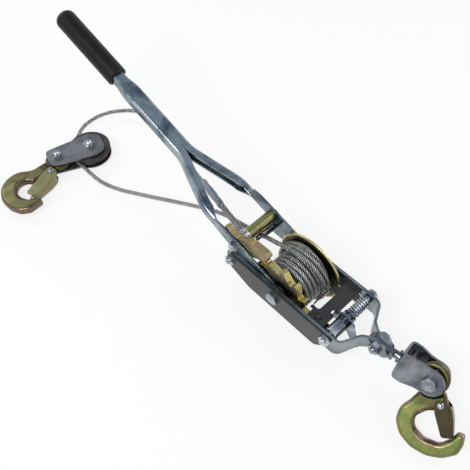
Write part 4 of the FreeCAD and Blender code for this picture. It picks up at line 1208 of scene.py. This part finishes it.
@dataclass
class ThreadEnds:
    """The threaded ends that stand out of the near nuts and of the block's upper nuts.

    Each bolt stands with the body that its end rides on.
    """

    zinc: bpy.types.Material
    radius: float = 0.0038
    root: float = 0.0032
    tip_share: float = 0.80
    length: float = 0.0032
    sunk: float = 0.0005
    half_pitch: float = 0.00055
    half_turns: int = 5
    sides: int = 24
    across: tuple = (("front_bolt", "frame"), ("rear_bolt", "frame"), ("clamp_bolt", "frame"),
                     ("pawl_bolt", "handle"))
    upright: tuple = (("sheave_bolt", "frame"), ("hook_bolt", "frame"))

    def model(self) -> bpy.types.Object:
        """Turn one threaded end that stands on the origin.

        Returns:
            The new object.
        """
        piece = begin(
            bpy.ops.mesh.primitive_cylinder_add, "thread", vertices=self.sides,
            radius=self.radius, depth=self.length + self.sunk, end_fill_type="NGON",
            location=(0.0, 0.0, (self.length - self.sunk) / 2))
        bpy.ops.object.transform_apply(location=True, rotation=True, scale=True)
        with editing():
            for step in range(1, self.half_turns + 1):
                cut((0.0, 0.0, step * self.half_pitch), UP)
        for vertex in piece.data.vertices:
            step = round(vertex.co.z / self.half_pitch)
            narrow = self.tip_share if vertex.co.z > self.length - NEAR else 1.0
            if 0 < step <= self.half_turns and step % 2:
                narrow = self.root / self.radius
            vertex.co.x *= narrow
            vertex.co.y *= narrow
        bpy.ops.object.shade_smooth_by_angle(angle=math.radians(20.0))
        return piece

    def build(self) -> None:
        """Stand one end on each bolt."""
        first = self.model()
        lying = Matrix.Rotation(math.pi / 2, 4, "X")
        for node, body in self.across + self.upright:
            ends = np.array([tuple(v.co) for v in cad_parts[node].data.vertices])
            low, high = ends.min(axis=0), ends.max(axis=0)
            middle = (low + high) / 2
            if (node, body) in self.across:
                matrix = Matrix.Translation((middle[0], low[1], middle[2])) @ lying
            else:
                matrix = Matrix.Translation((middle[0], middle[1], high[2]))
            piece = link(node + "_thread", first.data.copy())
            piece.data.transform(matrix)
            settle(piece, self.zinc, body)
        bpy.data.objects.remove(first)


@dataclass(frozen=True)
class Lamp:
    """A soft square lamp that looks at a target."""

    name: str
    place: tuple
    size: float
    power: float
    target: tuple

    def build(self) -> None:
        """Hang the lamp."""
        data = bpy.data.lights.new(self.name, "AREA")
        data.shape = "SQUARE"
        data.size = self.size
        data.energy = self.power
        lamp = link(self.name, data)
        lamp.location = self.place
        look = Vector(self.target) - Vector(self.place)
        lamp.rotation_euler = look.to_track_quat("-Z", "Y").to_euler()


@dataclass
class Studio:
    """The pale floor, the soft lamps and the camera of the photograph."""

    place: tuple = (0.335636, -0.266614, 0.7274)
    view: tuple = (-0.41629, 0.39459, -0.81915)
    right: tuple = (0.69227, 0.72163, -0.00419)
    up: tuple = (-0.58946, 0.56881, 0.57357)
    lens: float = 49.79
    sensor: float = 36.0
    clip: tuple = (0.01, 50.0)
    floor_size: float = 16.0
    floor_tone: tuple = (0.92, 0.92, 0.92)
    glow_share: float = 0.80
    sky: tuple = (
        (0.0, (1.0, 1.0, 1.0)), (0.35, (0.94, 0.95, 0.97)), (0.70, (0.55, 0.60, 0.67)),
        (1.0, (0.36, 0.42, 0.52)),
    )
    fill: tuple = (0.95, 0.97, 1.0)
    fill_strength: float = 0.42
    lamps: tuple = (
        Lamp("key_lamp", (0.1, -1.1, 1.5), 0.7, 17.0, (0.0, 0.05, 0.05)),
        Lamp("side_lamp", (-1.3, -0.2, 1.0), 0.6, 5.0, (-0.05, 0.05, 0.05)),
        Lamp("back_lamp", (0.6, 1.2, 1.1), 0.6, 7.0, (0.05, 0.05, 0.05)),
    )

    def camera(self) -> None:
        """Stand the camera where the photograph was taken from."""
        data = bpy.data.cameras.new("camera")
        data.sensor_width = self.sensor
        data.sensor_fit = "HORIZONTAL"
        data.lens = self.lens
        data.clip_start, data.clip_end = self.clip
        camera = link("camera", data)
        camera.matrix_world = placed(self.right, self.up, [-v for v in self.view], self.place)
        bpy.context.scene.camera = camera

    def floor(self) -> None:
        """Lay the pale floor."""
        floor = begin(
            bpy.ops.mesh.primitive_plane_add, "floor", size=self.floor_size, location=(0, 0, 0))
        material = bpy.data.materials.new("pale_floor")
        g = Graph(material)
        matt = g.node("ShaderNodeBsdfDiffuse", None, {"Color": self.floor_tone})
        glow = g.node("ShaderNodeEmission", None, {"Color": (1.0, 1.0, 1.0), "Strength": 1.0})
        surface = g.blend(g.seen() * self.glow_share, matt, glow)
        g.node("ShaderNodeOutputMaterial", None, {0: surface})
        floor.data.materials.append(material)

    def world(self) -> None:
        """Fill the studio with soft light, white at the horizon and darker overhead."""
        world = bpy.data.worlds.new("studio")
        bpy.context.scene.world = world
        g = Graph(world)
        height = g.parts(g.coords().outputs["Generated"])[2]
        sky = g.node("ShaderNodeBackground", None, {"Color": g.ramp(height, self.sky)})
        soft = g.node(
            "ShaderNodeBackground", None, {"Color": self.fill, "Strength": self.fill_strength})
        g.node("ShaderNodeOutputWorld", None, {0: g.blend(g.seen(), soft, sky)})

    def build(self) -> None:
        """Set up the whole studio."""
        bpy.context.scene.view_settings.view_transform = "Standard"
        self.camera()
        self.floor()
        self.world()
        for lamp in self.lamps:
            lamp.build()


@dataclass
class Winch:
    """All the pieces of the winch and the finish of each."""

    hook_axis: tuple = (0.09697, -0.64885, 0.75471)
    materials: dict = field(default_factory=dict)

    def make_materials(self) -> None:
        """Build every finish once."""
        finishes = (
            BrightZinc("strap_zinc", light=(0.31, 0.345, 0.35), deep=(0.12, 0.145, 0.165)),
            BrightZinc("handle_zinc", light=(0.37, 0.43, 0.45), deep=(0.085, 0.112, 0.15),
                       rough=(0.09, 0.33)),
            # The yoke's upward faces are darkened with painted shade.
            BrightZinc("yoke_zinc", light=(0.30, 0.31, 0.33), deep=(0.11, 0.12, 0.14),
                       top=(0.125, 0.14, 0.16), rough=(0.10, 0.34)),
            BrightZinc("fixing_zinc", light=(0.62, 0.65, 0.67), deep=(0.16, 0.18, 0.21),
                       rough=(0.07, 0.31)),
            BrightZinc("spring_zinc", light=(0.72, 0.75, 0.77), deep=(0.30, 0.34, 0.38),
                       rough=(0.08, 0.32)),
            GoldZinc("gear_gold"),
            GoldZinc("pawl_gold", edge=(0.60, 0.46, 0.22), pink=(0.34, 0.24, 0.14),
                     green=(0.16, 0.155, 0.07), flat_share=0.85, barrel=(0.30, 0.275, 0.115)),
            FlangeZinc("flange_gold"),
            HookZinc("rear_hook_olive", self.hook_axis, bowl=(0.3125, 0.0516, 0.0262),
                     bowl_radius=0.0167, pin=(0.28209, 0.08101, 0.0554)),
            HookZinc("latch_brown", self.hook_axis, gold=(0.062, 0.050, 0.030),
                     green=(0.035, 0.030, 0.018), rose=(0.20, 0.20, 0.08)),
            HookZinc("block_hook_olive", UP, gold=(0.165, 0.145, 0.070),
                     green=(0.105, 0.105, 0.048), rose=(0.19, 0.135, 0.10),
                     brown=(0.045, 0.036, 0.022), bowl=(-0.28164, -0.08009, 0.0147),
                     bowl_radius=0.0146, pin=(-0.30106, -0.01681, 0.0147)),
            HookZinc("block_latch_olive", UP, gold=(0.24, 0.23, 0.12), green=(0.17, 0.17, 0.08),
                     rose=(0.22, 0.17, 0.12), brown=(0.06, 0.05, 0.03)),
            BlackPaint("plate_black", base=(0.024, 0.024, 0.025), dust=(0.062, 0.060, 0.058)),
            # A darker copy of the black paint: painted shade on the channel and the plates inside
            # the frame.
            BlackPaint("channel_black_painted_shade", base=(0.009, 0.009, 0.0095), dust=(0.024, 0.023, 0.022),
                       rough=(0.38, 0.60)),
            BlackPaint("clamp_black", rough=(0.42, 0.64)),
            DullZinc("block_grey"),
            DullZinc("sheave_grey", light=(0.105, 0.095, 0.088), dark=(0.052, 0.046, 0.042),
                     rust_share=0.5),
            DullZinc("drum_grey"),
            RopeSteel("rope_steel"),
            PressedAluminium("ferrule_grey"),
            GripRubber("grip_black"),
        )
        for finish in finishes:
            self.materials[finish.name] = finish.build()

    def dress_nodes(self) -> None:
        """Give each CAD piece its finish."""
        plan = {
            "strap_zinc": ("near_strap", "far_strap"),
            "handle_zinc": ("handle_near_half", "handle_far_half"),
            "yoke_zinc": ("yoke", "swivel_stud"),
            "fixing_zinc": (
                "axle_bolt", "axle_nut", "front_bolt", "front_nut", "rear_bolt", "rear_nut",
                "clamp_bolt", "clamp_nut", "front_spacer_near", "front_spacer_far", "sleeve_nut",
                "spring_sleeve", "pawl_bolt", "pawl_nut", "yoke_bolt", "yoke_nut", "sheave_bolt",
                "sheave_nut", "hook_bolt", "hook_nut", "holding_pawl", "rear_latch_rivet",
                "block_latch_rivet"),
            "spring_zinc": ("holding_spring", "drive_spring"),
            "gear_gold": ("ratchet_wheel",),
            "pawl_gold": ("drive_pawl",),
            "flange_gold": ("far_flange",),
            "rear_hook_olive": ("rear_hook",),
            "latch_brown": ("rear_latch",),
            "block_hook_olive": ("block_hook",),
            "block_latch_olive": ("block_latch",),
            "plate_black": ("near_side_plate",),
            "channel_black_painted_shade": ("far_side_plate", "cross_channel", "channel_rivet"),
            "clamp_black": ("cable_clamp",),
            "block_grey": ("block_lower_plate", "block_upper_plate"),
            "sheave_grey": ("sheave",),
            "drum_grey": ("drum_core",),
            "rope_steel": ("cable", "cable_eye", "wound_cable"),
            "ferrule_grey": ("ferrule",),
            "grip_black": ("grip",),
        }
        for name, nodes in plan.items():
            dress(nodes, self.materials[name])
            LOG.info("%s on %d pieces", name, len(nodes))

    def build(self) -> None:
        """Build and dress everything in order."""
        self.make_materials()
        self.dress_nodes()
        steel = self.materials["rope_steel"]
        cable = FreeCable(steel, self.materials["ferrule_grey"])
        cable.build_run()
        cable.build_eye()
        cable.build_ferrule()
        Drum(steel).build()
        ArmCheeks(self.materials["handle_zinc"]).build()
        ChannelCorners(self.materials["channel_black_painted_shade"]).build()
        ThreadEnds(self.materials["fixing_zinc"]).build()


def main() -> None:
    """Build the winch in its studio."""
    logging.basicConfig(level=logging.INFO, format="%(message)s")
    Studio().build()
    Winch().build()


if __name__ == "__main__":
    main()
